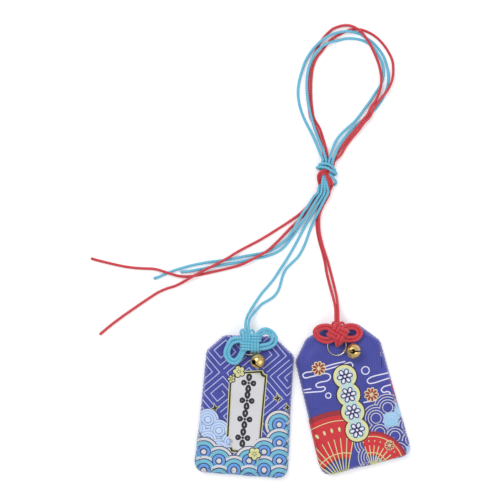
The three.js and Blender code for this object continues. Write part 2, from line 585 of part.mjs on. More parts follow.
// The bell hangs from the ring by its eye and leans on the pouch
function makeBell(charm) {
  const { side, ring, bell } = charm;
  const eyeAngle = radians(ring.eyeAngle);
  const heading = radians(bell.heading);
  const wire = new THREE.Vector3(-Math.sin(eyeAngle), Math.cos(eyeAngle), 0);
  const level = Math.cos(bellLift);
  const axis = new THREE.Vector3(level * Math.cos(heading), level * Math.sin(heading), Math.sin(bellLift));
  const across = wire.clone().addScaledVector(axis, -wire.dot(axis)).normalize();
  const third = axis.clone().cross(across);
  const sideways = new THREE.Vector3(-Math.sin(heading), Math.cos(heading), 0);
  const upward = axis.clone().cross(sideways);
  const slitTurn = radians(bell.slitTurn);
  const slitWay = sideways.multiplyScalar(Math.cos(slitTurn)).addScaledVector(upward, Math.sin(slitTurn));
  const slitAngle = Math.atan2(slitWay.dot(third), slitWay.dot(across));

  const group = new THREE.Group();
  group.quaternion.setFromRotationMatrix(new THREE.Matrix4().makeBasis(across, third, axis));
  const reach = RING_RADIUS * Math.cos(ringTilt);
  group.position.set(
    ring.place[0] + reach * Math.cos(eyeAngle),
    ring.place[1] + reach * Math.sin(eyeAngle),
    ringHigh,
  );
  group.add(brass(`${side}_bell_crown`, bellCrown()));
  group.add(brass(`${side}_bell_bowl`, bellBowl(slitAngle)));
  group.add(brass(`${side}_bell_eye`, bellEye()));
  group.add(brass(`${side}_bell_pellet`, bellPellet()));
  return group;
}

// The ring lies on the pouch at one side and on the bell's eye at the other
function makeRing({ side, ring }) {
  const loop = new THREE.TorusGeometry(RING_RADIUS, RING_WIRE / 2, WIRE_SIDES, RING_STEPS);
  const mesh = brass(`${side}_ring`, loop);
  const eyeAngle = radians(ring.eyeAngle);
  const hinge = new THREE.Vector3(Math.sin(eyeAngle), -Math.cos(eyeAngle), 0);
  mesh.quaternion.setFromAxisAngle(hinge, ringTilt);
  mesh.position.set(ring.place[0], ring.place[1], (ringLow + ringHigh) / 2);
  return mesh;
}

function makeCharm(charm) {
  const group = new THREE.Group();
  group.position.set(charm.pivot.x, charm.pivot.y, 0);
  group.rotation.z = radians(charm.turn);
  group.add(makePouch(charm));
  group.add(braid(`${charm.side}_decorative_knot`, decorativeKnot(charm), charm.cordColour));
  group.add(makeRing(charm));
  group.add(makeBell(charm));
  return group;
}

// Where a strand meets the shared knot: its seat, and a point one diameter further out
function mouth(end, [column, row]) {
  const shift = row === 'lower' ? STRAND_PITCH / 2 : 0;
  const across = (column - (tieColumns - 1) / 2) * STRAND_PITCH + shift;
  const height = row === 'lower' ? lowerRow : upperRow;
  return [0, CORD].map((further) => {
    const along = end * (TIE_LENGTH / 2 + GAP + further);
    const spot = new THREE.Vector2(across, along).rotateAround(new THREE.Vector2(), radians(TIE_TURN));
    return new THREE.Vector3(TIE_PLACE.x + spot.x, TIE_PLACE.y + spot.y, height);
  });
}

// A strand's end at a charm's neck, run on to the pivot so that it can be cut round there
function neckEnd(charm, way) {
  const spot = new THREE.Vector2((way * STRAND_PITCH) / 2, 0).add(charm.pivot);
  return new THREE.Vector3(spot.x, spot.y, neckHeight);
}

function strandTube(points) {
  const route = new THREE.CatmullRomCurve3(points, false, 'centripetal');
  const steps = Math.ceil(route.getLength() / (STEP_DIAMETERS * CORD));
  const section = new THREE.Shape(circle(new THREE.Vector2(), CORD / 2, CORD_SIDES));
  return new THREE.ExtrudeGeometry(section, { steps, extrudePath: route });
}

const charmOf = (cord) => charms.find(({ side }) => side === cord);
const strandPoints = (points) => points.map((point) => new THREE.Vector3(...point));

function makeLoopStrand({ name, cord, from, to, points }) {
  const route = [...mouth(1, from), ...strandPoints(points), ...mouth(1, to).reverse()];
  return braid(name, strandTube(route), charmOf(cord).cordColour);
}

function makeNeckStrand({ name, cord, from, neck, points }) {
  const charm = charmOf(cord);
  const tube = solid(strandTube([...mouth(-1, from), ...strandPoints(points), neckEnd(charm, neck)]));
  const clear = upright(charm.pivot, NECK_BOSS + GAP, 0, 2 * knotTop, BOSS_SIDES);
  return braid(name, geometryOf(tube.subtract(solid(clear))), charm.cordColour);
}

function makeTailStrand({ name, cord, from, points }) {
  return braid(name, strandTube([...mouth(-1, from), ...strandPoints(points)]), charmOf(cord).cordColour);
}

// One turn round the shared knot, a rounded box seen along the knot
class WrapTurn extends THREE.Curve {
  constructor(place) {
    super();
    this.place = place;
  }

  getPoint(t) {
    const angle = 2 * Math.PI * t;
    const soften = (value) => Math.sign(value) * Math.abs(value) ** WRAP_SQUARENESS;
    const across = wrapHalfWidth * soften(Math.cos(angle));
    const slope = Math.tan(radians(WRAP_TURN));
    return new THREE.Vector3(
      tieMiddle + across,
      this.place + across * slope,
      wrapMid + wrapHalfHeight * soften(Math.sin(angle)),
    );
  }
}

// A straight block along the knot with a rounded section
function tieBlock(halfWidth, halfHeight, low, high) {
  const block = slab(rectangle(2 * halfWidth, 2 * halfHeight, halfHeight * WRAP_SQUARENESS), high - low);
  return block.rotateX(-Math.PI / 2).translate(tieMiddle, low, wrapMid);
}

function makeTie() {
  const end = TIE_LENGTH / 2;
  const places = Array.from({ length: WRAP_COUNT }, (_, i) => WRAP_TOP - i * (CORD + EAR_SPACE));
  const slant = wrapHalfWidth * Math.tan(radians(-WRAP_TURN));
  const parts = [tieBlock(tieHalfWidth, (upperRow - lowerRow + CORD) / 2, -end, end)];
  const [first, last] = [places[WRAP_COUNT - 1] - slant, places[0] + slant];
  parts.push(tieBlock(wrapHalfWidth - GAP, wrapHalfHeight - GAP, first, last));
  places.forEach((place) => {
    parts.push(new THREE.TubeGeometry(new WrapTurn(place), WRAP_STEPS, CORD / 2, EAR_SIDES, true));
  });
  const geometry = geometryOf(joined(parts));
  const mesh = braid('shared_knot', geometry, charms[0].cordColour);
  mesh.position.set(TIE_PLACE.x, TIE_PLACE.y, 0);
  mesh.rotation.z = radians(TIE_TURN);
  return mesh;
}

const omamori = new THREE.Group();
charms.forEach((charm) => omamori.add(makeCharm(charm)));
omamori.add(makeTie());
loopStrands.forEach((strand) => omamori.add(makeLoopStrand(strand)));
neckStrands.forEach((strand) => omamori.add(makeNeckStrand(strand)));
tailStrands.forEach((strand) => omamori.add(makeTailStrand(strand)));

export default omamori;
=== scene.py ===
import math

import bpy
import numpy as np
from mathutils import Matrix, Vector
from mathutils.bvhtree import BVHTree
from mathutils.geometry import delaunay_2d_cdt


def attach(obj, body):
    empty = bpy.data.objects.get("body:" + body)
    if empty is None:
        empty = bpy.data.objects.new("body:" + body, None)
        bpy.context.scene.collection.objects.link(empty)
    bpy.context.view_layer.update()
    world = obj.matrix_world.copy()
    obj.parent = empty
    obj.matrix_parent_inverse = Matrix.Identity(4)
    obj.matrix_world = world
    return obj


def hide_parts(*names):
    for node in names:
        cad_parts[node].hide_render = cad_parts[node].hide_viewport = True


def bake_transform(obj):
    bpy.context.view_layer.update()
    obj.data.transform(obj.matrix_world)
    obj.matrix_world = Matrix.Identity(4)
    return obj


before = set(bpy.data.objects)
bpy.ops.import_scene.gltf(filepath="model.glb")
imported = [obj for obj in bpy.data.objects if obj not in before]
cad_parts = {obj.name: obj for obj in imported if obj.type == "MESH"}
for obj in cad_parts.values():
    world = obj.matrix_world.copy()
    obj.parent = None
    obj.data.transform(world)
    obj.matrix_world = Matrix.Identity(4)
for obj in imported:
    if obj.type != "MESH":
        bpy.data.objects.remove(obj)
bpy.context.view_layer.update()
scene = bpy.context.scene

# Lengths below are in millimetres in the shared frame; MM turns them into metres
MM = 0.001
# One pixel of the photo in millimetres, the pixel at the shared frame's origin, and the photo's side
PHOTO_STEP = 0.55
PHOTO_ORIGIN = (303.0, 396.0)
PHOTO_SIDE = 500

# Thicknesses, radii and heights through the part, as the solids have them
CORD = 1.5
SEAM = 0.9
FACE = 6.1
CLOTH = 0.5
KNOT_BASE = 8.2
KNOT_TOP = 10.6
RING_LOW = 6.75
RING_HIGH = 7.55
RING_RADIUS = 5.1
RING_WIRE = 0.58
BELL_RADIUS = 4.1
BELL_WALL = 0.4
BELL_REACH = 5.55
EYE_RADIUS = 0.9
EYE_WIRE = 0.5

# Shared knot: its middle and turn, half its length, and the step and two rows of the strands in it
TIE = (12.1, 120.5)
TIE_TURN = math.radians(-8.7)
TIE_HALF = 7.15
PITCH = 1.8
LOWER_ROW = 2.25
UPPER_ROW = 3.81
MOUTH_GAP = 0.3


# Small helpers for places

def photo(x, y):
    """A place on the photo's pixel grid, in millimetres."""
    return (x - PHOTO_ORIGIN[0]) * PHOTO_STEP, (PHOTO_ORIGIN[1] - y) * PHOTO_STEP


def turned_by(angle, x, y):
    """A place turned about the origin."""
    return x * math.cos(angle) - y * math.sin(angle), x * math.sin(angle) + y * math.cos(angle)


def beside(centre, angle, reach):
    """A place at a distance and an angle from a centre."""
    return centre[0] + reach * math.cos(angle), centre[1] + reach * math.sin(angle)


def full_turn(count, start=0.0):
    """Angles evenly round a full turn."""
    return start + 2 * np.pi * np.arange(count) / count


# Small helpers for materials

# How many blotches, fuzzy yarns and worn spots lie along a metre
BLOTCHES = 90.0
FUZZ = 4000.0
WEAR = 700.0


def srgb(code):
    """A hex colour as the eye names it, turned to linear light."""
    values = [int(code[i:i + 2], 16) / 255 for i in (0, 2, 4)]
    return [v / 12.92 if v <= 0.04045 else ((v + 0.055) / 1.055) ** 2.4 for v in values] + [1.0]


def add(tree, kind, inputs=None, **settings):
    """Adds one shader or geometry node, sets it and links what it is given."""
    made = tree.nodes.new(kind)
    for key, value in settings.items():
        setattr(made, key, value)
    for key, value in (inputs or {}).items():
        if isinstance(value, bpy.types.NodeSocket):
            tree.links.new(value, made.inputs[key])
        else:
            made.inputs[key].default_value = value
    return made


def material(name, build):
    """A new material whose shader is what build returns for its node tree."""
    made = bpy.data.materials.new(name)
    made.use_nodes = True
    tree = made.node_tree
    tree.nodes.clear()
    shader = build(tree)
    add(tree, "ShaderNodeOutputMaterial", {"Surface": shader.outputs[0]})
    return made


def woven(name, code, shade, period, height, roughness=0.62, sheen=0.35):
    """Cloth with crossing threads one period (mm) apart, with painted shade darker between them and lighter
    on their crossings, and soft blotches of random tone.
    """
    def build(tree):
        place = add(tree, "ShaderNodeTexCoord").outputs["Object"]
        scale = math.pi / (10 * period * MM)
        weft, warp = [add(tree, "ShaderNodeTexWave", {"Vector": place, "Scale": scale, "Distortion": 0.4},
                          bands_direction=way).outputs["Fac"] for way in "XY"]
        cross = add(tree, "ShaderNodeMath", {0: weft, 1: warp}, operation="MULTIPLY").outputs[0]
        blotch = add(tree, "ShaderNodeTexNoise", {"Vector": place, "Scale": BLOTCHES, "Detail": 4.0})
        # The colour carries painted shade of the weave, darker between the threads and lighter on their
        # crossings, mixed with random blotches of tone
        dark = add(tree, "ShaderNodeMath", {
            0: cross, 1: -0.6, 2: blotch.outputs["Fac"]}, operation="MULTIPLY_ADD")
        tint = add(tree, "ShaderNodeMix", {
            0: dark.outputs[0], 6: srgb(code), 7: srgb(shade)}, data_type="RGBA").outputs[2]
        bump = add(tree, "ShaderNodeBump", {"Height": cross, "Strength": 0.5, "Distance": height * MM})
        return add(tree, "ShaderNodeBsdfPrincipled", {
            "Base Color": tint, "Roughness": roughness, "Sheen Weight": sheen,
            "Sheen Roughness": 0.5, "Normal": bump.outputs["Normal"]})
    return material(name, build)


def braided(name, code, shade):
    """Braided cord: satin yarn, with painted shade darker in the grooves that the mesh stores as an
    attribute.
    """
    def build(tree):
        groove = add(tree, "ShaderNodeAttribute", attribute_name="groove").outputs["Fac"]
        tint = add(tree, "ShaderNodeMix", {
            0: groove, 6: srgb(code), 7: srgb(shade)}, data_type="RGBA").outputs[2]
        place = add(tree, "ShaderNodeTexCoord").outputs["Object"]
        fuzz = add(tree, "ShaderNodeTexNoise", {"Vector": place, "Scale": FUZZ, "Detail": 2.0}).outputs["Fac"]
        bump = add(tree, "ShaderNodeBump", {"Height": fuzz, "Strength": 0.3, "Distance": 0.05 * MM})
        return add(tree, "ShaderNodeBsdfPrincipled", {
            "Base Color": tint, "Roughness": 0.48, "Sheen Weight": 0.25, "Normal": bump.outputs["Normal"]})
    return material(name, build)


def polished(name, code, shade, roughness):
    """Plated brass: bright, with faint cloudy wear."""
    def build(tree):
        place = add(tree, "ShaderNodeTexCoord").outputs["Object"]
        wear = add(tree, "ShaderNodeTexNoise", {"Vector": place, "Scale": WEAR, "Detail": 3.0}).outputs["Fac"]
        tint = add(tree, "ShaderNodeMix", {
            0: wear, 6: srgb(code), 7: srgb(shade)}, data_type="RGBA").outputs[2]
        rough = add(tree, "ShaderNodeMapRange", {
            "Value": wear, "To Min": roughness * 0.7, "To Max": roughness * 1.4})
        return add(tree, "ShaderNodeBsdfPrincipled", {
            "Base Color": tint, "Roughness": rough.outputs["Result"], "Metallic": 1.0})
    return material(name, build)


def plain(name, code, roughness, glow=0.0):
    """One even colour, with a faint glow where one is asked for."""
    def build(tree):
        return add(tree, "ShaderNodeBsdfPrincipled", {
            "Base Color": srgb(code), "Roughness": roughness,
            "Emission Color": srgb(code), "Emission Strength": glow})
    return material(name, build)


# Violet-blue brocade of the pouches, dull satin; its threads lie 0.45 mm apart, and its weave is drawn
# coarser than that so that it shows. Its second colour is painted shade between the threads
WEAVE = 1.3
VIOLET = ("3C43A2", "262B7A")
BROCADE = woven("violet blue brocade", *VIOLET, period=WEAVE, height=0.12)
# Light blue and red braided cords, soft sheen; the second colour is painted shade, darker between the plaits
CORDS = {
    "left": braided("light blue braided cord", "6EC2DC", "4A9CBC"),
    "right": braided("red braided cord", "DC2F3F", "A51B2B"),
}
# Yellow brass of the bells, worn to a soft shine, and the paler gilt wire of the rings
BRASS = polished("polished brass", "E4C888", "D0AE6C", 0.32)
WIRE = polished("pale gilt wire", "E6DAC0", "D0BF9C", 0.24)
# Inside of the bells, painted as a dull dark brown shade, which the eye sees through the slit
BRASS_PAINTED_SHADE = plain("shadowed brass inside", "241A0C", 0.7)


# Small helpers for meshes

def finish_mesh(name, verts, faces, mat, smooth=True):
    """An object at the origin from millimetre vertices."""
    mesh = bpy.data.meshes.new(name)
    mesh.from_pydata((np.asarray(verts, float) * MM).tolist(), [], [tuple(f) for f in faces])
    mesh.materials.append(mat)
    mesh.polygons.foreach_set("use_smooth", [smooth] * len(mesh.polygons))
    mesh.update()
    made = bpy.data.objects.new(name, mesh)
    scene.collection.objects.link(made)
    return made


def run_lengths(line):
    """How far along a line each of its points lies."""
    return np.concatenate([[0], np.cumsum(np.linalg.norm(np.diff(line, axis=0), axis=1))])


def resample(line, step, closed=False):
    """Points about one step apart along a polyline."""
    line = np.asarray(line, float)
    if closed:
        line = np.vstack([line, line[:1]])
    along = run_lengths(line)
    count = max(2, int(round(along[-1] / step)) + 1)
    spots = np.linspace(0, along[-1], count)
    if closed:
        spots = spots[:-1]
    return np.stack([np.interp(spots, along, line[:, k]) for k in range(line.shape[1])], axis=1)


def smooth_line(points, step):
    """A smooth line through given points, in even steps."""
    p = np.asarray(points, float)
    q = np.vstack([2 * p[0] - p[1], p, 2 * p[-1] - p[-2]])
    out = []
    for i in range(len(p) - 1):
        a, b, c, d = q[i:i + 4]
        gaps = np.maximum(np.linalg.norm(np.diff(q[i:i + 4], axis=0), axis=1), 1e-6) ** 0.5
        t0, t1, t2, t3 = np.concatenate([[0], np.cumsum(gaps)])
        s = np.linspace(t1, t2, 16, endpoint=False)[:, None]
        ab = (t1 - s) / (t1 - t0) * a + (s - t0) / (t1 - t0) * b
        bc = (t2 - s) / (t2 - t1) * b + (s - t1) / (t2 - t1) * c
        cd = (t3 - s) / (t3 - t2) * c + (s - t2) / (t3 - t2) * d
        abc = (t2 - s) / (t2 - t0) * ab + (s - t0) / (t2 - t0) * bc
        bcd = (t3 - s) / (t3 - t1) * bc + (s - t1) / (t3 - t1) * cd
        out.append((t2 - s) / (t2 - t1) * abc + (s - t1) / (t2 - t1) * bcd)
    out.append(p[-1:])
    return resample(np.vstack(out), step)


def frames_along(line, closed):
    """Two directions across a line at each point, which turn as little as possible along it."""
    if closed:
        ahead = np.roll(line, -1, axis=0) - np.roll(line, 1, axis=0)
    else:
        ahead = np.gradient(line, axis=0)
    ahead /= np.linalg.norm(ahead, axis=1)[:, None]
    first = np.cross(ahead[0], [0, 0, 1.0])
    if np.linalg.norm(first) < 0.1:
        first = np.cross(ahead[0], [0, 1.0, 0])
    normals = [first / np.linalg.norm(first)]
    for t in ahead[1:]:
        n = normals[-1] - t * (normals[-1] @ t)
        normals.append(n / np.linalg.norm(n))
    normals = np.array(normals)
    return normals, np.cross(ahead, normals)


def between_rings(count, sides, closed=False):
    """Faces that join each ring of vertices to the next."""
    faces = []
    for i in range(count if closed else count - 1):
        j = (i + 1) % count
        for k in range(sides):
            m = (k + 1) % sides
            faces.append((i * sides + k, i * sides + m, j * sides + m, j * sides + k))
    return faces


def capped(count, sides):
    """Faces that join each ring to the next, with both ends closed."""
    ends = [tuple(range(sides))[::-1], tuple(range((count - 1) * sides, count * sides))]
    return between_rings(count, sides) + ends


# Plaits round a cord, the length of one turn of its braid, and how far a plait stands out as a share
BRAID_TURNS = 3
BRAID_LENGTH = 2.8
BRAID_DEPTH = 0.05


def sweep(line, radius, sides=14, closed=False, braid=True):
    """A tube along a line: vertices, faces and how deep each vertex lies in the braid, the mask of the cord's
    painted shade.
    """
    line = np.asarray(line, float)
    across, upward = frames_along(line, closed)
    count = len(line)
    along = run_lengths(line)
    turn = full_turn(sides)
    twist = 2 * np.pi * along / BRAID_LENGTH
    if closed:
        twist = 2 * np.pi * along * max(1, round(along[-1] / BRAID_LENGTH)) / along[-1]
    plait, twist = BRAID_TURNS * turn[None], twist[:, None]
    weave = np.cos(plait + twist) * np.cos(plait - twist)
    reach = np.broadcast_to(np.asarray(radius, float).reshape(-1, 1), (count, 1))
    reach = reach * (1 + (BRAID_DEPTH * weave if braid else 0 * weave))
    verts = line[:, None] + reach[..., None] * (np.cos(turn)[None, :, None] * across[:, None]
                                                + np.sin(turn)[None, :, None] * upward[:, None])
    faces = between_rings(count, sides, closed=True) if closed else capped(count, sides)
    # How deep each vertex lies in the braid, which the cord's material turns into painted shade
    groove = np.clip(0.5 - 0.5 * weave, 0, 1).ravel()
    return verts.reshape(-1, 3), faces, groove


def merged(parts):
    """Several pieces as one list of vertices, faces and grooves."""
    verts, faces, grooves, base = [], [], [], 0
    for v, f, g in parts:
        verts.append(v)
        grooves.append(g)
        faces += [tuple(base + i for i in face) for face in f]
        base += len(v)
    return np.vstack(verts), faces, np.concatenate(grooves)


def cord_object(name, parts, mat):
    """Tubes of cord as one object, which stores for its material how deep each vertex lies in the braid,
    which the material paints as shade in the grooves.
    """
    verts, faces, groove = merged(parts)
    made = finish_mesh(name, verts, faces, mat)
    store = made.data.attributes.new("groove", "FLOAT", "POINT")
    store.data.foreach_set("value", groove.astype(np.float32))
    return made


# Camera straight above, pale floor and soft light

VIEW_WIDTH = PHOTO_SIDE * PHOTO_STEP
VIEW_CENTRE = photo(PHOTO_SIDE / 2, PHOTO_SIDE / 2)
CAMERA_HEIGHT = 1500.0
CAMERA_REACH = 20000.0
SENSOR = 36.0
FLOOR_REACH = 2500.0
FLOOR_GLOW = 0.2
ROOM_LIGHT = 0.62
# Each softbox: its place and width, and its power in watts
SOFTBOXES = {
    "key_softbox": ((-550, 750, 1100), 900, 9.0),
    "fill_softbox": ((800, -350, 1000), 1100, 5.0),
}


def make_camera():
    """A camera that sees the photo's square on the floor."""
    data = bpy.data.cameras.new("camera_above")
    data.sensor_width = SENSOR
    data.lens = SENSOR * CAMERA_HEIGHT / VIEW_WIDTH
    data.clip_end = CAMERA_REACH * MM
    camera = bpy.data.objects.new("camera_above", data)
    camera.location = Vector((*VIEW_CENTRE, CAMERA_HEIGHT)) * MM
    scene.collection.objects.link(camera)
    scene.camera = camera


def make_softbox(name, place, width, watts):
    """A round lamp that looks at the middle of the view."""
    data = bpy.data.lights.new(name, "AREA")
    data.shape = "DISK"
    data.size = width * MM
    data.energy = watts
    lamp = bpy.data.objects.new(name, data)
    lamp.location = Vector(place) * MM
    aim = Vector((*VIEW_CENTRE, 0)) - Vector(place)
    lamp.rotation_euler = aim.to_track_quat("-Z", "Y").to_euler()
    scene.collection.objects.link(lamp)


def make_stage():
    """The floor, the even light of the room and the softboxes."""
    corners = [(FLOOR_REACH * x, FLOOR_REACH * y, 0) for x, y in ((-1, -1), (1, -1), (1, 1), (-1, 1))]
    paper = plain("pale studio floor", "F7F7F8", 0.9, FLOOR_GLOW)
    floor = finish_mesh("floor", corners, [(0, 1, 2, 3)], paper)
    world = bpy.data.worlds.new("soft white room")
    scene.world = world
    world.use_nodes = True
    back = next(n for n in world.node_tree.nodes if n.type == "BACKGROUND")
    back.inputs["Color"].default_value = (1.0, 1.0, 1.0, 1.0)
    back.inputs["Strength"].default_value = ROOM_LIGHT
    for name, (place, width, watts) in SOFTBOXES.items():
        make_softbox(name, place, width, watts)
    scene.view_settings.view_transform = "Standard"


make_camera()
make_stage()


# Cords: four strands, each from its charm up through the shared knot, round the hanging loop,
# back through the knot and out to a cut tail

def tie_point(across, along, height):
    """A place measured along the shared knot's own axes from its middle."""
    x, y = turned_by(TIE_TURN, across, along)
    return TIE[0] + x, TIE[1] + y, height


def column(index, row):
    """How far across the knot a seat lies; the lower row is half a step to the side."""
    return (index - 1.5) * PITCH + (PITCH / 2 if row == "lower" else 0)


def mouth(end, index, row):
    """A strand's seat at the knot's upper or lower end, and a point one diameter further out."""
    height = LOWER_ROW if row == "lower" else UPPER_ROW
    return [tie_point(column(index, row), end * (TIE_HALF + MOUTH_GAP + out), height) for out in (0, CORD)]


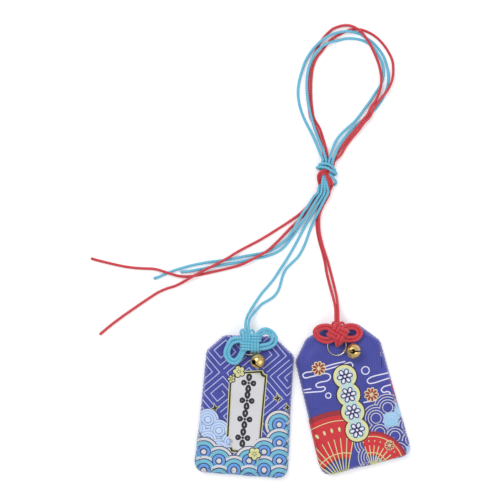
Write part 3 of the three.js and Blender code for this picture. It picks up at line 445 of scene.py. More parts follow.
# rise is a strand's way up through the knot to the hanging loop, fall its way back down: the light
# blue pair turns twice over the top, the red pair folds on the right and turns round the left. A point
# with no height lies on the floor. A seat is a column and row of the knot, spread the fraying of the cut
# end, and lean how far to the side the bend of the neck ends.
STRANDS = [
    {
        "name": "cyan_strand_long", "charm": "left", "neck_side": -1, "spread": 0.35, "lean": 0,
        "neck_seat": (2, "upper"), "loop_start": (0, "upper"), "loop_end": (3, "upper"),
        "tail_seat": (0, "upper"),
        "stands_for": ["cyan_neck_left", "cyan_loop_outer", "cyan_tail_long"],
        "neck": [
            (9.9, 108.4, 3), (7.4, 104, 2.17), (4.7, 99.6, 1.42), (2.1, 95.2, 0.83), (-0.6, 90.2),
            (-3.3, 85), (-6.2, 79.8), (-9.4, 74.5), (-12.7, 69.6), (-15.7, 64.9), (-19.2, 60.5),
            (-22.4, 56.9), (-24.9, 53.4), (-27.1, 50.1, 1), (-29, 47, 1.83), (-30.6, 44, 3.25),
            (-31.6, 41.2, 5.8), (-31.8, 38.8, 7.6),
        ],
        "rise": [
            (11.7, 116.2, 4.3), (12.1, 119.2, 3.9), (11.9, 122.3, 2.9), (11.2, 125.2, 3),
        ],
        "loop": [
            (9, 134.2, 3.33), (7, 139.2, 2.5), (4.8, 144.1, 1.5), (2.2, 149.1), (-0.3, 154.6),
            (-2.1, 160.6), (-2.8, 166.7), (-2.2, 172.7), (-0.8, 178.2), (1.4, 184.3),
            (4.4, 189.2, 1.33), (7.7, 193.1, 2.25), (10.5, 195.5, 2.42), (13.8, 197.7, 2.25),
            (17.6, 199.3, 2.17), (21.5, 200.2, 2.33), (24.8, 200.4, 2.33), (28.1, 200, 1.58),
            (31.4, 199), (34.7, 196.9), (38.2, 194.5), (41.5, 190.9), (44.3, 186.7), (45.9, 182.1),
            (46.9, 177.1), (46.8, 172.2), (45.7, 167.8), (43.7, 163.4), (40.7, 159), (37.4, 155.4),
            (34.1, 152.6), (30.8, 150.2), (27.5, 147.4), (24.2, 143.8), (21.5, 140.2, 1),
            (19.2, 136.4, 2), (17.6, 132.8, 3),
        ],
        "fall": [
            (15.6, 126.3, 2.2), (13.5, 126, 0.9), (10.8, 126.6, 0.9), (9, 127, 2.2), (9.4, 127.4, 4.2),
            (11.6, 127.7, 5.3), (13.9, 127.3, 5.5), (15.9, 125.9, 5.2), (17.4, 124.1, 3.9),
            (17.5, 122.9, 1.9), (15.6, 122.3, 1), (14, 122, 2.4), (15, 121.3, 4.3), (16.8, 119.4, 4.3),
            (18.1, 117.6, 2.9), (17.3, 116.2, 1.3), (14.8, 115.7, 0.85), (11.5, 116.4, 0.9),
            (9.4, 116.2, 1.8),
        ],
        "tail": [
            (5.8, 109.5, 3.17), (3.3, 105.6, 2.75), (0.7, 101.8, 2.5), (-1.7, 97.9, 2.42),
            (-3.9, 94.1, 2.42), (-5.9, 90.5, 2.25), (-8.2, 87.2, 1.58), (-11.3, 84.3, 0.83),
            (-14.6, 81.8), (-18.2, 79.9), (-22, 78.7), (-26.4, 77.9), (-31.4, 77), (-36.3, 75.9),
            (-41.2, 75), (-46.2, 74.4), (-51.7, 73.7), (-57.2, 72.7), (-62.2, 71.6), (-66.6, 70.4),
            (-71, 69), (-75.4, 67.2), (-78.7, 65.7), (-82, 64.6),
        ],
    },
    {
        "name": "cyan_strand_short", "charm": "left", "neck_side": 1, "spread": 0.12, "lean": 0,
        "neck_seat": (3, "upper"), "loop_start": (1, "upper"), "loop_end": (2, "upper"),
        "tail_seat": (1, "upper"),
        "stands_for": ["cyan_neck_right", "cyan_loop_inner", "cyan_tail_short"],
        "neck": [
            (11.8, 108.1, 3.3), (9.4, 103.4, 3.1), (7.2, 99, 2.6), (5.1, 94.6, 1.33), (3.3, 89.9),
            (1.7, 85.2), (-0.3, 80.6), (-2.8, 76.5), (-6.1, 73.2), (-9.1, 70.1), (-11, 66.6),
            (-12.1, 62.7), (-13.4, 58.6), (-15.8, 55), (-19.2, 52.6), (-22.6, 50.6), (-25, 48.1, 1),
            (-27.2, 45.5, 2.17), (-29, 42.9, 4.6), (-29.6, 40.7, 6.2), (-29.8, 38.8, 7.6),
        ],
        "rise": [
            (13, 115.8, 4.2), (12.9, 118.6, 3.5), (13, 121.5, 2.4), (12.6, 125, 2.8),
        ],
        "loop": [
            (11.2, 134.2, 3.35), (9.2, 139.2, 2.8), (7.1, 144.7, 2.45), (5.3, 150.2, 2.35),
            (3.9, 155.6, 2.35), (2.8, 160.8, 2.35), (2.2, 166.1, 2.3), (2, 171.6, 2.25),
            (2.4, 177.1, 2.3), (3.6, 182.1, 2.4), (5.5, 186.5, 2.42), (8.2, 190, 2.42),
            (11.6, 192.8, 2.42), (14.9, 194.3, 2.33), (18.7, 195.3, 1.33), (23.1, 196.4), (27.5, 196.5),
            (31.9, 195.7), (35.8, 193.9), (39.1, 190.9), (41.5, 187.3), (43.5, 183.2), (44.3, 178.2),
            (43.8, 173.8), (42.1, 170), (39.6, 166.4), (36.9, 162.2), (34.1, 158.4), (31.1, 154.3),
            (28.1, 150.7), (24.8, 147.7), (21.5, 144.7, 0.92), (18.4, 140.8, 1.33), (16.7, 137.2, 2.1),
            (15.3, 133, 3.1),
        ],
        "fall": [
            (13.7, 126.2, 2.4), (11.8, 125.2, 1), (9.2, 125, 0.9), (7.7, 125.3, 2), (7.7, 125.7, 3.7),
            (9.3, 125.9, 5), (11.4, 125.7, 5.5), (13.5, 125.1, 5.7), (15.3, 123.9, 5.5),
            (17.1, 122.8, 4.7), (18.3, 122.3, 3), (17.4, 121.6, 1.3), (15, 121.2, 0.9),
            (12.8, 121.6, 1.8), (11.5, 121.5, 3.3), (10.9, 119.4, 4.5), (10.4, 116.6, 4.4),
        ],
        "tail": [
            (8, 108.9, 3.17), (5.5, 104.8, 2.67), (2.9, 100.7, 2.42), (0.2, 96.5, 2),
            (-2.5, 92.4, 1.17), (-5.2, 88.6), (-7.7, 85.2), (-10.3, 82.1), (-13.8, 79.4), (-17.6, 77.7),
            (-21.5, 76.5), (-25.9, 75.7), (-30.3, 74.8), (-35.2, 73.7), (-40.2, 72.8), (-45.1, 71.9),
            (-50.1, 71.1), (-54.5, 70.1), (-58.9, 69.3), (-63.3, 68.5), (-67.4, 68.2),
        ],
    },
    {
        "name": "red_strand_lower", "charm": "right", "neck_side": -1, "spread": 0.12, "lean": 6,
        "neck_seat": (2, "lower"), "loop_start": (0, "lower"), "loop_end": (2, "lower"),
        "tail_seat": (0, "lower"),
        "stands_for": ["red_neck_left", "red_loop_outer", "red_tail_lower"],
        "neck": [
            (11, 108.4, 1.5), (9, 104, 0.95), (7.8, 99.6), (7.6, 94.6), (8, 89.7), (9.2, 84.2),
            (10.8, 78.7), (12.1, 73.2), (13, 67.7), (14.2, 62.7), (15.5, 57.8, 1.1), (16.7, 53.4, 2.6),
            (17.3, 49.5, 4.6), (17.5, 46.8, 6.2), (17.5, 44.3, 7.7),
        ],
        "rise": [
            (13.3, 114.3, 2.8), (14.3, 115.9, 3.9), (14, 118, 4.7), (12.9, 120.4, 4.3),
            (12.5, 123.2, 3), (12, 125.8, 2.3),
        ],
        "loop": [
            (10.8, 135.6, 1.4), (9.4, 141.3, 0.8), (7.3, 147), (4.3, 152.7), (3.25, 158.4), (2.8, 165),
            (2.7, 170), (2.95, 175.4), (3.8, 181.1), (5.5, 186.2), (7.2, 190), (9, 193.6), (11, 196.6),
            (13.5, 199.4), (16.5, 201.9), (19.8, 203.2), (23.1, 203.8, 1.17), (26.4, 203.4, 2.08),
            (29.4, 202, 2.42), (32.2, 199.7, 2.42), (34.7, 196.6, 2.42), (36.9, 193.1, 2.42),
            (38.7, 189.5, 2.25), (40.3, 185.9, 1.7), (41.7, 182.1, 1.2), (42.6, 178.2, 1.2),
            (43, 174.4, 2.2), (42.7, 170.5, 2.4), (41.6, 166.5, 2.3), (40, 162.5, 2.3),
            (37.5, 159.1, 2.3), (35.5, 154.9, 2.35), (32.1, 150.9, 2.35), (29.2, 146.9, 2.25),
            (25.8, 142.9, 1.5), (22.4, 138.4, 1.1), (19.4, 134, 1.2), (17.2, 131.2, 1.7),
        ],
        "fall": [
            (14.4, 125.6, 2.6), (13.2, 124.4, 3.9), (11.6, 123.9, 4.7), (9.8, 123.2, 4.6),
            (8.4, 121.4, 3.9), (8.3, 119.1, 2.9), (8.9, 116.7, 2.2),
        ],
        "tail": [
            (6.6, 109.2, 1.42), (3.9, 105.6, 0.83), (0.8, 102.6), (-2.2, 99.8), (-5.5, 97.4),
            (-9.4, 94.7), (-13.8, 91.9), (-18.7, 88.8), (-23.7, 85.8), (-28.6, 83.2), (-33, 80.9, 0.92),
            (-37.4, 78.4, 2), (-41.2, 76, 2.42), (-45.4, 73.7, 2.33), (-49.5, 71.5, 2.33),
            (-53.4, 69.7, 2.33), (-56.9, 67.8, 2.33), (-60.2, 66, 2.42), (-63.3, 64.2, 2),
            (-66.6, 62.3, 1.17), (-70.4, 60.5), (-75.4, 58.9), (-79.8, 56.9), (-84.2, 54.1),
            (-89.7, 50.4), (-95.2, 46.6), (-100.7, 42.7), (-106.2, 38.5), (-111.8, 33.8),
        ],
    },
    {
        "name": "red_strand_upper", "charm": "right", "neck_side": 1, "spread": 0.12, "lean": 6,
        "neck_seat": (3, "lower"), "loop_start": (1, "lower"), "loop_end": (3, "lower"),
        "tail_seat": (1, "lower"),
        "stands_for": ["red_neck_right", "red_loop_inner", "red_tail_upper"],
        "neck": [
            (13, 108.4, 1.8), (10.6, 104, 1.6), (9, 99.6, 1.9), (8.7, 94.6, 2), (9.1, 89.7, 2),
            (10.3, 84.2, 2), (12, 78.7, 1.9), (13.7, 73.7, 1.3), (15, 68.8, 0.8), (16.3, 63.8),
            (17.5, 58.9, 1.1), (18.5, 53.9, 2.6), (19.1, 49.5, 4.6), (19.3, 46.8, 6.2),
            (19.3, 44.3, 7.7),
        ],
        "rise": [
            (15.2, 114.2, 2.3), (16, 115.9, 3.3), (15.5, 117.9, 4.2), (14.4, 120, 4.3),
            (13.7, 122.6, 3), (13.5, 125.3, 2.4),
        ],
        "loop": [
            (12.6, 135.6, 1.6), (11.1, 141.3, 0.85), (9.2, 147), (6.05, 152.7), (4.95, 158.4),
            (4.45, 165), (4.4, 170), (4.65, 175.4), (5.55, 181.1), (7.75, 186.3), (10.3, 189.5),
            (12.8, 192.9), (15.4, 195.8), (18.2, 197.7), (20.9, 199.1), (23.7, 200.5), (26.4, 201.4),
            (29.7, 201.7), (33, 201.1), (36.9, 199.5), (40.7, 196.9), (44.3, 193.1), (47.2, 188.7),
            (49.1, 184.3), (49.6, 179.9, 0.9), (49.3, 175.5, 1.8), (48.1, 171.3, 2.4), (46, 167.5, 2.4),
            (43.2, 164, 2.35), (40.6, 160.8, 2.35), (38.6, 157.7, 2.35), (36.9, 153.8, 2.35),
            (33.3, 149.9, 2.35), (30.4, 145.9, 2.1), (27, 141.9, 1.3), (23.6, 137.4, 1.1),
            (20.7, 132.6, 1.5),
        ],
        "fall": [
            (15.4, 125, 1.9), (13.8, 123.3, 2.6), (12, 122.7, 4), (10.4, 122, 4.3), (9.6, 120.4, 3.6),
            (9.6, 118.2, 2.3), (10.3, 115.8, 1.7),
        ],
        "tail": [
            (8.2, 108.4, 1.5), (5.2, 104.5, 0.92), (1.9, 100.9), (-1.4, 97.6), (-4.4, 94.7),
            (-7.4, 91.9), (-10.7, 88.4), (-13.8, 85.2, 1), (-16.8, 82.3, 1.83), (-19.5, 80, 2.33),
            (-22.6, 78.1, 2.33), (-25.9, 76.3, 2.33), (-29.2, 74.5, 2.5), (-32.7, 72.8, 1.92),
            (-36.9, 71.3, 1), (-41.2, 70.2), (-46.2, 69), (-51.2, 67.9), (-56.1, 66.8), (-60.5, 66),
            (-64.9, 65.7), (-68.8, 66.1, 1.25), (-72.3, 67.1, 2.42), (-75.1, 68, 2.5), (-78.1, 69, 2),
            (-82, 69.9, 1), (-86.4, 70.1), (-91.9, 70.4), (-97.4, 71.1), (-102.9, 72.2), (-108.4, 73.5),
            (-112.8, 74.6), (-116.6, 75.7),
        ],
    },
]
PIVOTS = {"left": (-30.8, 36.3), "right": (18.4, 41.8)}
NECK_HEIGHT = 8.95
# Above this height the two strands of a neck lie pressed together
NECK_PRESSED = 4.0
# Where a strand starts inside its charm's knot: along from the pivot, and over the neck
KNOT_ENTRY = [(-5.5, 0.3), (-2.5, 0.2), (0, 0)]
# Runs over which a cut end spreads and is rounded off, and how much of its width the rounding takes
SPREAD_RUN = 1.1
ROUND_RUN = 0.5
ROUND_SHARE = 0.7
# Steps along a cord
CORD_STEP = 0.35


def raised(points):
    """A strand's points, with half its thickness as the height of those that lie on the floor."""
    return [p if len(p) == 3 else (*p, CORD / 2) for p in points]


def strand_route(s):
    """The whole centreline of a strand, from inside its charm's knot to its cut end."""
    x, y = PIVOTS[s["charm"]]
    x += s["neck_side"] * CORD / 2
    closing = s["neck_side"] * (PITCH - CORD) / 2
    route = [(x, y + along, NECK_HEIGHT + over) for along, over in KNOT_ENTRY]
    route += [(u - closing * (h > NECK_PRESSED), v, h) for u, v, h in raised(s["neck"][::-1])]
    route += mouth(-1, *s["neck_seat"])[::-1] + s["rise"] + mouth(1, *s["loop_start"])
    route += raised(s["loop"])
    route += mouth(1, *s["loop_end"])[::-1] + s["fall"] + mouth(-1, *s["tail_seat"])
    route += raised(s["tail"])
    line = smooth_line(route, CORD_STEP)
    line[:, 2] = np.maximum(line[:, 2], strand_radius(line, s["spread"]) + BRAID_DEPTH)
    return line


def strand_radius(line, spread):
    """Even along the strand, with a slightly spread and rounded cut end."""
    from_end = (len(line) - 1 - np.arange(len(line))) * CORD_STEP
    radius = CORD / 2 * (1 + spread * np.exp(-from_end / SPREAD_RUN))
    round_off = np.clip(from_end / ROUND_RUN, 0, 1)
    return radius * np.sqrt(1 - (1 - round_off) ** 2 * ROUND_SHARE)


def make_strand(s):
    """One strand as a limp cord along its route, in place of the solids it stands for."""
    line = strand_route(s)
    made = cord_object(s["name"], [sweep(line, strand_radius(line, s["spread"]))], CORDS[s["charm"]])
    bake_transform(made)
    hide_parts(*s["stands_for"], "shared_knot")


for strand in STRANDS:
    make_strand(strand)


# Decorative knots: doubled ears, a pinwheel block, two small loops at the neck and a tip into the pouch

# block, hole, top and ring are places along a charm's own axes from its pivot, loops the places, widths
# and heights of the small loops, corners the pouch's outline from its top, and ears the routes of their
# strands in the shared frame. eye_angle is where on the ring the bell's eye sits, heading the way that
# the bell points, and slit_turn the turn of its slit.
CHARMS = {
    "left": {
        "pivot": PIVOTS["left"], "turn": math.radians(-4.6), "top": (2.8, -3.1),
        "corners": [(-25.2, -76), (25.2, -76), (24, -8.8), (12, 0.7), (-14.9, -0.7), (-24, -9.9)],
        "block": (2.5, -6.1), "block_turn": math.radians(-0.6), "block_size": 9.2, "cell_strands": 3,
        "hole": (1.6, -10.0), "loops": [(-2.3, -1.3, 1.15, 1.6), (2.7, -1.1, 1.15, 1.6)],
        "ring": (2.0, -8.1), "eye_angle": math.radians(-49.6), "heading": math.radians(-74.6),
        "slit_turn": math.radians(-50), "ear_cord": 1.9,
        "ears": [
            [(-28.6, 32.1), (-30.8, 32.1), (-33, 32), (-37.4, 32.1), (-39.6, 31.1), (-41.5, 28.1),
             (-42.8, 24.2), (-42.1, 21.3), (-40.7, 19.5), (-38.3, 18.3), (-36.1, 18.9),
             (-33.8, 21.8), (-32.2, 25), (-30.3, 26.7), (-28.6, 27.2)],
            [(-28.6, 30), (-30.8, 30), (-32.5, 30.1), (-36.5, 30.2), (-38.7, 29.2), (-40.2, 26.9),
             (-40.9, 24.1), (-40.2, 21.6), (-38.9, 20.4), (-37.5, 20.1), (-36, 21.3), (-34.5, 23.7),
             (-33.4, 26), (-31.9, 27.9), (-30.3, 28.8), (-28.6, 29)],
            [(-28.6, 31.6), (-27, 32.5), (-25.9, 33.6), (-23.9, 35.8), (-22, 36.9), (-20.4, 37.1),
             (-18, 36.3), (-16.1, 34.7), (-14.8, 32.3), (-14.9, 30.5), (-16, 28.5), (-18.5, 27.1),
             (-21.2, 26.4), (-24.2, 26.2), (-26.4, 26.3), (-28.6, 26.4)],
            [(-28.1, 30), (-26.4, 30.6), (-25, 31.9), (-23.4, 33.7), (-21.7, 34.8), (-20.4, 35.1),
             (-18.8, 34.7), (-17.6, 33.3), (-16.9, 31.9), (-17.2, 30.5), (-18.3, 29.4),
             (-20.1, 28.7), (-22.3, 28.3), (-24.8, 28.2), (-27, 28.3), (-28.6, 28.4)],
        ],
    },
    "right": {
        "pivot": PIVOTS["right"], "turn": math.radians(14.4), "top": (-3.6, -5.3),
        "corners": [(-25.2, -76), (25.2, -76), (24, -11.45), (14.2, 0.65), (-4.5, 3), (-15.3, -0.65),
                    (-24, -10.95)],
        "block": (-1.2, -6.8), "block_turn": math.radians(-27), "block_size": 8, "cell_strands": 2,
        "hole": (-2.8, -13.5), "loops": [(-2.1, -1.8, 0.8, 1.2), (2.1, -3.0, 1.05, 1.3)],
        "ring": (-3.5, -13.6), "eye_angle": math.radians(-32.6), "heading": math.radians(0.4),
        "slit_turn": math.radians(90), "ear_cord": 1.85,
        "ears": [
            [(19.2, 36), (17.9, 37.1), (16.5, 38), (13.8, 39.1), (10.5, 39.1), (7.7, 38), (6.1, 36),
             (6.1, 34.7), (7.2, 32.5), (9.1, 30.9), (11.6, 30), (14, 30), (16.5, 31.1), (18.2, 32.5),
             (19.2, 33.6)],
            [(19.2, 34.5), (17.3, 35.4), (15.7, 36.3), (13.5, 37.4), (10.8, 37.4), (8.9, 36.6),
             (7.8, 35.1), (8.2, 33.6), (9.9, 32.5), (11.8, 31.9), (13.8, 32), (15.7, 33),
             (17.6, 33.9), (19.2, 34.3)],
            [(18.7, 35.8), (19.8, 36.6), (20.6, 37.4), (23.1, 38.9), (25.9, 39.4), (28.6, 38.9),
             (30.6, 37.4), (31.8, 35.2), (31.2, 33.1), (29.6, 31.5), (27.2, 30.6), (24.2, 30.6),
             (21.5, 31.4), (19.8, 32.5), (18.7, 33.6)],
            [(18.7, 34.3), (20.4, 35.1), (22, 36.2), (23.9, 37.3), (26.1, 37.7), (28.2, 37.3),
             (29.6, 36), (30, 34.8), (29.2, 33.4), (27.8, 32.6), (25.9, 32.5), (23.9, 32.7),
             (22.3, 33.4), (20.4, 34), (18.7, 34.2)],
        ],
    },
}
# Ears leave the block at this width, at this height, and slope down to the pouch by this power
EAR_ROOT = 9.2
EAR_HIGH = KNOT_BASE + 0.75 * CORD
EAR_SLOPE = 0.8
# A cell's strand along its cell, as a share of its length, with its height over the knot's top
ARCH_RUNS = [-0.2, -0.04, 0.16, 0.5, 0.84, 1.05, 1.14]
ARCH_RISES = [-1.5, -0.5, 0.15, 0.35, 0.1, -0.7, -1.8]
# How far a cell's outer strands sag, and how full its strands are for their spacing
CELL_SAG = 0.4
CELL_FULL = 1.04
# The core's half width as a share of the block's, its rings and sides, and its painted shade, dark where it
# shows between the strands
CORE_SHARE = 0.47
CORE_RINGS = 12
CORE_SIDES = 40
CORE_PAINTED_SHADE = 0.8
# The small loops' steps, thickness as a share of the cord's, and height over the neck
LOOP_STEPS = 28
LOOP_THICK = 0.85
LOOP_OVER = 0.1
# A tip strand's way from the block (0) to the hole (1): share, sideways, lengthways and height
TIP_ROUTE = [
    (0, 2.6, -1.0, KNOT_BASE + 1.3), (0, 2.3, -3.4, KNOT_BASE + 1.2), (0.5, 1.5, -2.3, KNOT_BASE + 1.0),
    (1, 0.7, 0.6, KNOT_BASE + 0.4), (1, 0.55, 0, FACE + 0.6), (1, 0.55, -0.1, FACE - 1.5),
]


def on_charm(charm, u, v):
    """A place measured along a charm's own axes from its pivot, in the shared frame."""
    x, y = turned_by(charm["turn"], u, v)
    return charm["pivot"][0] + x, charm["pivot"][1] + y


def ear_tube(charm, points):
    """One strand of an ear, sloping from the block down to the pouch."""
    middle = np.array(on_charm(charm, *charm["block"]))
    flat = np.array(points, float)
    away = np.linalg.norm(flat - middle, axis=1)
    share = np.clip((away - EAR_ROOT / 2) / (away.max() - EAR_ROOT / 2), 0, 1)
    low = FACE + charm["ear_cord"] / 2
    heights = EAR_HIGH + (low - EAR_HIGH) * share ** EAR_SLOPE
    return sweep(smooth_line(np.column_stack([flat, heights]), CORD_STEP), charm["ear_cord"] / 2)


def block_tubes(charm):
    """Four cells of strands side by side, each cell arching up and diving under the next like a pinwheel."""
    cx, cy = on_charm(charm, *charm["block"])
    cell, count = charm["block_size"] / 2, charm["cell_strands"]
    tubes = []
    for quarter in full_turn(4, charm["block_turn"]):
        for row in range(count):
            across = (row + 0.5) / count
            points = []
            for run, over in zip(ARCH_RUNS, ARCH_RISES):
                x, y = turned_by(quarter, cell * run, cell * across)
                points.append((cx + x, cy + y, KNOT_TOP + over - CELL_SAG * abs(across - 0.5)))
            tubes.append(sweep(smooth_line(points, CORD_STEP), cell / count / 2 * CELL_FULL))
    return tubes


def squared(value):
    """A cosine or sine that follows a rounded square in place of a circle."""
    return math.copysign(abs(value) ** 0.5, value)


def block_core(charm):
    """The hidden middle of the block, a rounded cushion under the pinwheel, painted in shade where it shows
    between the strands.
    """
    cx, cy = on_charm(charm, *charm["block"])
    verts = []
    for tilt in np.linspace(-math.pi / 2, math.pi / 2, CORE_RINGS + 1):
        wide = charm["block_size"] * CORE_SHARE * max(math.cos(tilt), 0.02) ** 0.5
        height = (KNOT_BASE + KNOT_TOP) / 2 + (KNOT_TOP - KNOT_BASE) / 2 * math.sin(tilt)
        for turn in full_turn(CORE_SIDES):
            x, y = squared(math.cos(turn)), squared(math.sin(turn))
            x, y = turned_by(charm["block_turn"], wide * x, wide * y)
            verts.append((cx + x, cy + y, height))
    return np.array(verts), capped(CORE_RINGS + 1, CORE_SIDES), np.full(len(verts), CORE_PAINTED_SHADE)


def small_loops(charm):
    """Two little closed loops beside the neck."""
    tubes = []
    for u, v, wide, tall in charm["loops"]:
        turn = full_turn(LOOP_STEPS)
        x, y = on_charm(charm, u + wide * np.cos(turn), v + tall * np.sin(turn))
        ring = np.column_stack([x, y, np.full(LOOP_STEPS, NECK_HEIGHT + LOOP_OVER)])
        tubes.append(sweep(ring, CORD / 2 * LOOP_THICK, closed=True))
    return tubes


def tip_tubes(charm):
    """The two strands that leave the block downwards, meet and go into the pouch."""
    block, hole = np.array(charm["block"]), np.array(charm["hole"])
    tubes = []
    for way in (-1, 1):
        points = []
        for share, sideways, lengthways, height in TIP_ROUTE:
            u, v = block + share * (hole - block) + (way * sideways, lengthways)
            points.append((*on_charm(charm, u, v), height))
        tubes.append(sweep(smooth_line(points, CORD_STEP), CORD / 2))
    return tubes


def make_knot(side, charm):
    """All strands of a charm's decorative knot as one piece."""
    tubes = [ear_tube(charm, ear) for ear in charm["ears"]]
    tubes += block_tubes(charm) + small_loops(charm) + tip_tubes(charm) + [block_core(charm)]
    made = cord_object(side + "_knot_strands", tubes, CORDS[side])
    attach(made, side + "_charm")
    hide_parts(side + "_decorative_knot")


for side, charm in CHARMS.items():
    make_knot(side, charm)


# Pouches: two sewn panels over padding, rounded down to the seam along their edges

HEM_RADIUS = 5
SHOULDER_RADIUS = 4
CORNER_STEPS = 8
# Rows of vertices along a panel's edge, by their distance from it, and the grid inside them
PANEL_RINGS = [0.35, 0.9, 1.6, 2.5, 3.6]
EDGE_STEP = 1.0
GRID_GAP = 0.8
PANEL_GRID = 1.25
ROW_SHARE = 0.866


def rounded_outline(charm, inset=0.0, step=0.8):
    """The pouch's outline in the shared frame, anticlockwise, with rounded corners."""
    corners = np.array(charm["corners"], float)
    radii = [HEM_RADIUS] * 2 + [SHOULDER_RADIUS] * (len(corners) - 2)
    points = []
    for i, corner in enumerate(corners):
        before, after = corners[i - 1], corners[(i + 1) % len(corners)]
        a = (corner - before) / np.linalg.norm(corner - before)
        b = (after - corner) / np.linalg.norm(after - corner)
        turn = math.acos(np.clip(a @ b, -1, 1))
        start = corner - a * radii[i] * math.tan(turn / 2)
        centre = start + np.array([-a[1], a[0]]) * radii[i]
        for part in np.linspace(0, turn, CORNER_STEPS + 1):
            x, y = turned_by(part, *(start - centre))
            points.append((centre[0] + x, centre[1] + y))
    points = np.array(points) + np.array(charm["top"])
    line = resample(points, step, closed=True)
    world = np.array([on_charm(charm, u, v) for u, v in line])
    if inset:
        ahead = np.roll(world, -1, axis=0) - np.roll(world, 1, axis=0)
        ahead /= np.linalg.norm(ahead, axis=1)[:, None]
        world = world + inset * np.column_stack([-ahead[:, 1], ahead[:, 0]])
    return world


def edge_distance(points, outline):
    """How far inside a convex outline each point lies."""
    a = outline
    b = np.roll(outline, -1, axis=0)
    d = (b - a) / np.linalg.norm(b - a, axis=1)[:, None]
    normal = np.column_stack([-d[:, 1], d[:, 0]])
    return np.min(np.einsum("pnk,nk->pn", points[:, None] - a[None], normal), axis=1)


def hex_grid(low, high, step):
    """Points of a triangular lattice over a box."""
    rows = []
    for i, y in enumerate(np.arange(low[1], high[1], step * ROW_SHARE)):
        x = np.arange(low[0] + (step / 2 if i % 2 else 0), high[0], step)
        rows.append(np.column_stack([x, np.full(len(x), y)]))
    return np.vstack(rows)


def panel(charm, height):
    """A sheet over the pouch's outline, its height a function of the distance from the edge."""
    outline = rounded_outline(charm)
    count = len(outline)
    rings = [resample(rounded_outline(charm, inset), EDGE_STEP, closed=True) for inset in PANEL_RINGS]
    grid = hex_grid(outline.min(axis=0), outline.max(axis=0), PANEL_GRID)
    grid = grid[edge_distance(grid, outline) > PANEL_RINGS[-1] + GRID_GAP]
    flat = np.vstack([outline] + rings + [grid])
    edges = [(i, (i + 1) % count) for i in range(count)]
    spots, _, faces, _, _, _ = delaunay_2d_cdt([Vector(p) for p in flat], edges, [], 1, 1e-5)
    flat = np.array(spots)
    inside = np.maximum(edge_distance(flat, outline), 0)
    return np.column_stack([flat, height(inside, flat)]), faces, inside


# The side's rounding: how far in it reaches, its roundness, and how high it climbs
EDGE_ROUND = 3.4
EDGE_POWER = 2.3
SIDE_RISE = 0.87 * (FACE - SEAM)
# The front's slow dome, and the height and wave lengths of the unevenness of its filling
DOME_REACH = 14
DOME_RISE = 0.1 * (FACE - SEAM)
RIPPLE = 0.08
RIPPLE_LENGTHS = (7.3, 9.1, 4.7)
# How far in the back's edge is rounded, and how high it comes there
BACK_ROUND = 2.2
BACK_EDGE = SEAM - 0.15


def ripple(flat, seed):
    """Slow unevenness of hand-filled cloth."""
    x, y = flat[:, 0], flat[:, 1]
    across, along, slant = RIPPLE_LENGTHS
    straight = np.sin(x / across + seed) * np.cos(y / along - seed)
    return (straight + 0.6 * np.sin((x + y) / slant + 2 * seed)) / 1.6


def rise(inside):
    """The share of its side that the cloth has climbed at a distance in from the outline."""
    t = np.clip(inside / EDGE_ROUND, 0, 1)
    return (1 - (1 - t) ** EDGE_POWER) ** (1 / EDGE_POWER)


def run_in(share):
    """The distance in from the outline at which the cloth has climbed a share of its side."""
    return EDGE_ROUND * (1 - (1 - share ** EDGE_POWER) ** (1 / EDGE_POWER))


def front_height(seed):
    """The height of a front panel, as a function of the distance from its edge and the place."""
    def height(inside, flat):
        slow = np.clip(inside / DOME_REACH, 0, 1)
        dome = DOME_RISE * slow * (2 - slow)
        uneven = RIPPLE * ripple(flat, seed) * np.clip(inside / EDGE_ROUND, 0, 1)
        return SEAM + (SIDE_RISE + dome) * rise(inside) + uneven
    return height


def back_height(inside, flat):
    """The height of a back panel: flat on the floor, rounded up to the seam."""
    t = np.clip(inside / BACK_ROUND, 0, 1)
    return BACK_EDGE * (1 - (1 - (1 - t) ** 2) ** 0.5)


# A short run of light satin with a little spare cloth, pressed outwards by its filling
CLOTH_SETTINGS = {
    "quality": 6, "mass": 0.05,
    "tension_stiffness": 30, "compression_stiffness": 30, "bending_stiffness": 0.05,
    "vertex_group_mass": "sewn", "use_pressure": True, "uniform_pressure_force": 4.0, "shrink_min": -0.015,
}
CLOTH_FRAMES = 20
# The most that a vertex may shift, and the width along the outline that is sewn fast
CLOTH_SHIFT = 0.45
SEWN_DEPTH = 0.6


def settle(sheet, pinned):
    """Lets the filled cloth find its own wrinkles, and keeps the shift of each vertex small."""
    group = sheet.vertex_groups.new(name="sewn")
    group.add(pinned, 1.0, "REPLACE")
    rest = np.array([v.co for v in sheet.data.vertices])
    cloth = sheet.modifiers.new("settle", "CLOTH")
    for name, value in CLOTH_SETTINGS.items():
        setattr(cloth.settings, name, value)
    cloth.settings.effector_weights.gravity = 0.0
    cloth.collision_settings.use_collision = False
    cloth.point_cache.frame_start, cloth.point_cache.frame_end = 1, CLOTH_FRAMES
    for f in range(1, CLOTH_FRAMES + 1):
        scene.frame_set(f)
    shown = sheet.evaluated_get(bpy.context.evaluated_depsgraph_get())
    moved = np.array([v.co for v in shown.data.vertices])
    sheet.modifiers.remove(cloth)
    scene.frame_set(1)
    shift = moved - rest
    cap = CLOTH_SHIFT * MM
    size = np.maximum(np.linalg.norm(shift, axis=1, keepdims=True), 1e-12)
    shift = shift / size * cap * np.tanh(size / cap)
    shift[:, 2] -= max(0.0, float(np.median(shift[:, 2])))
    sheet.data.vertices.foreach_set("co", (rest + shift).ravel())
    sheet.data.update()


def made_plain(made):
    """Replaces an object's mesh by what its modifiers show, and removes them."""
    shown = made.evaluated_get(bpy.context.evaluated_depsgraph_get())
    mesh = bpy.data.meshes.new_from_object(shown)
    made.modifiers.clear()
    made.data = mesh
    mesh.polygons.foreach_set("use_smooth", [True] * len(mesh.polygons))


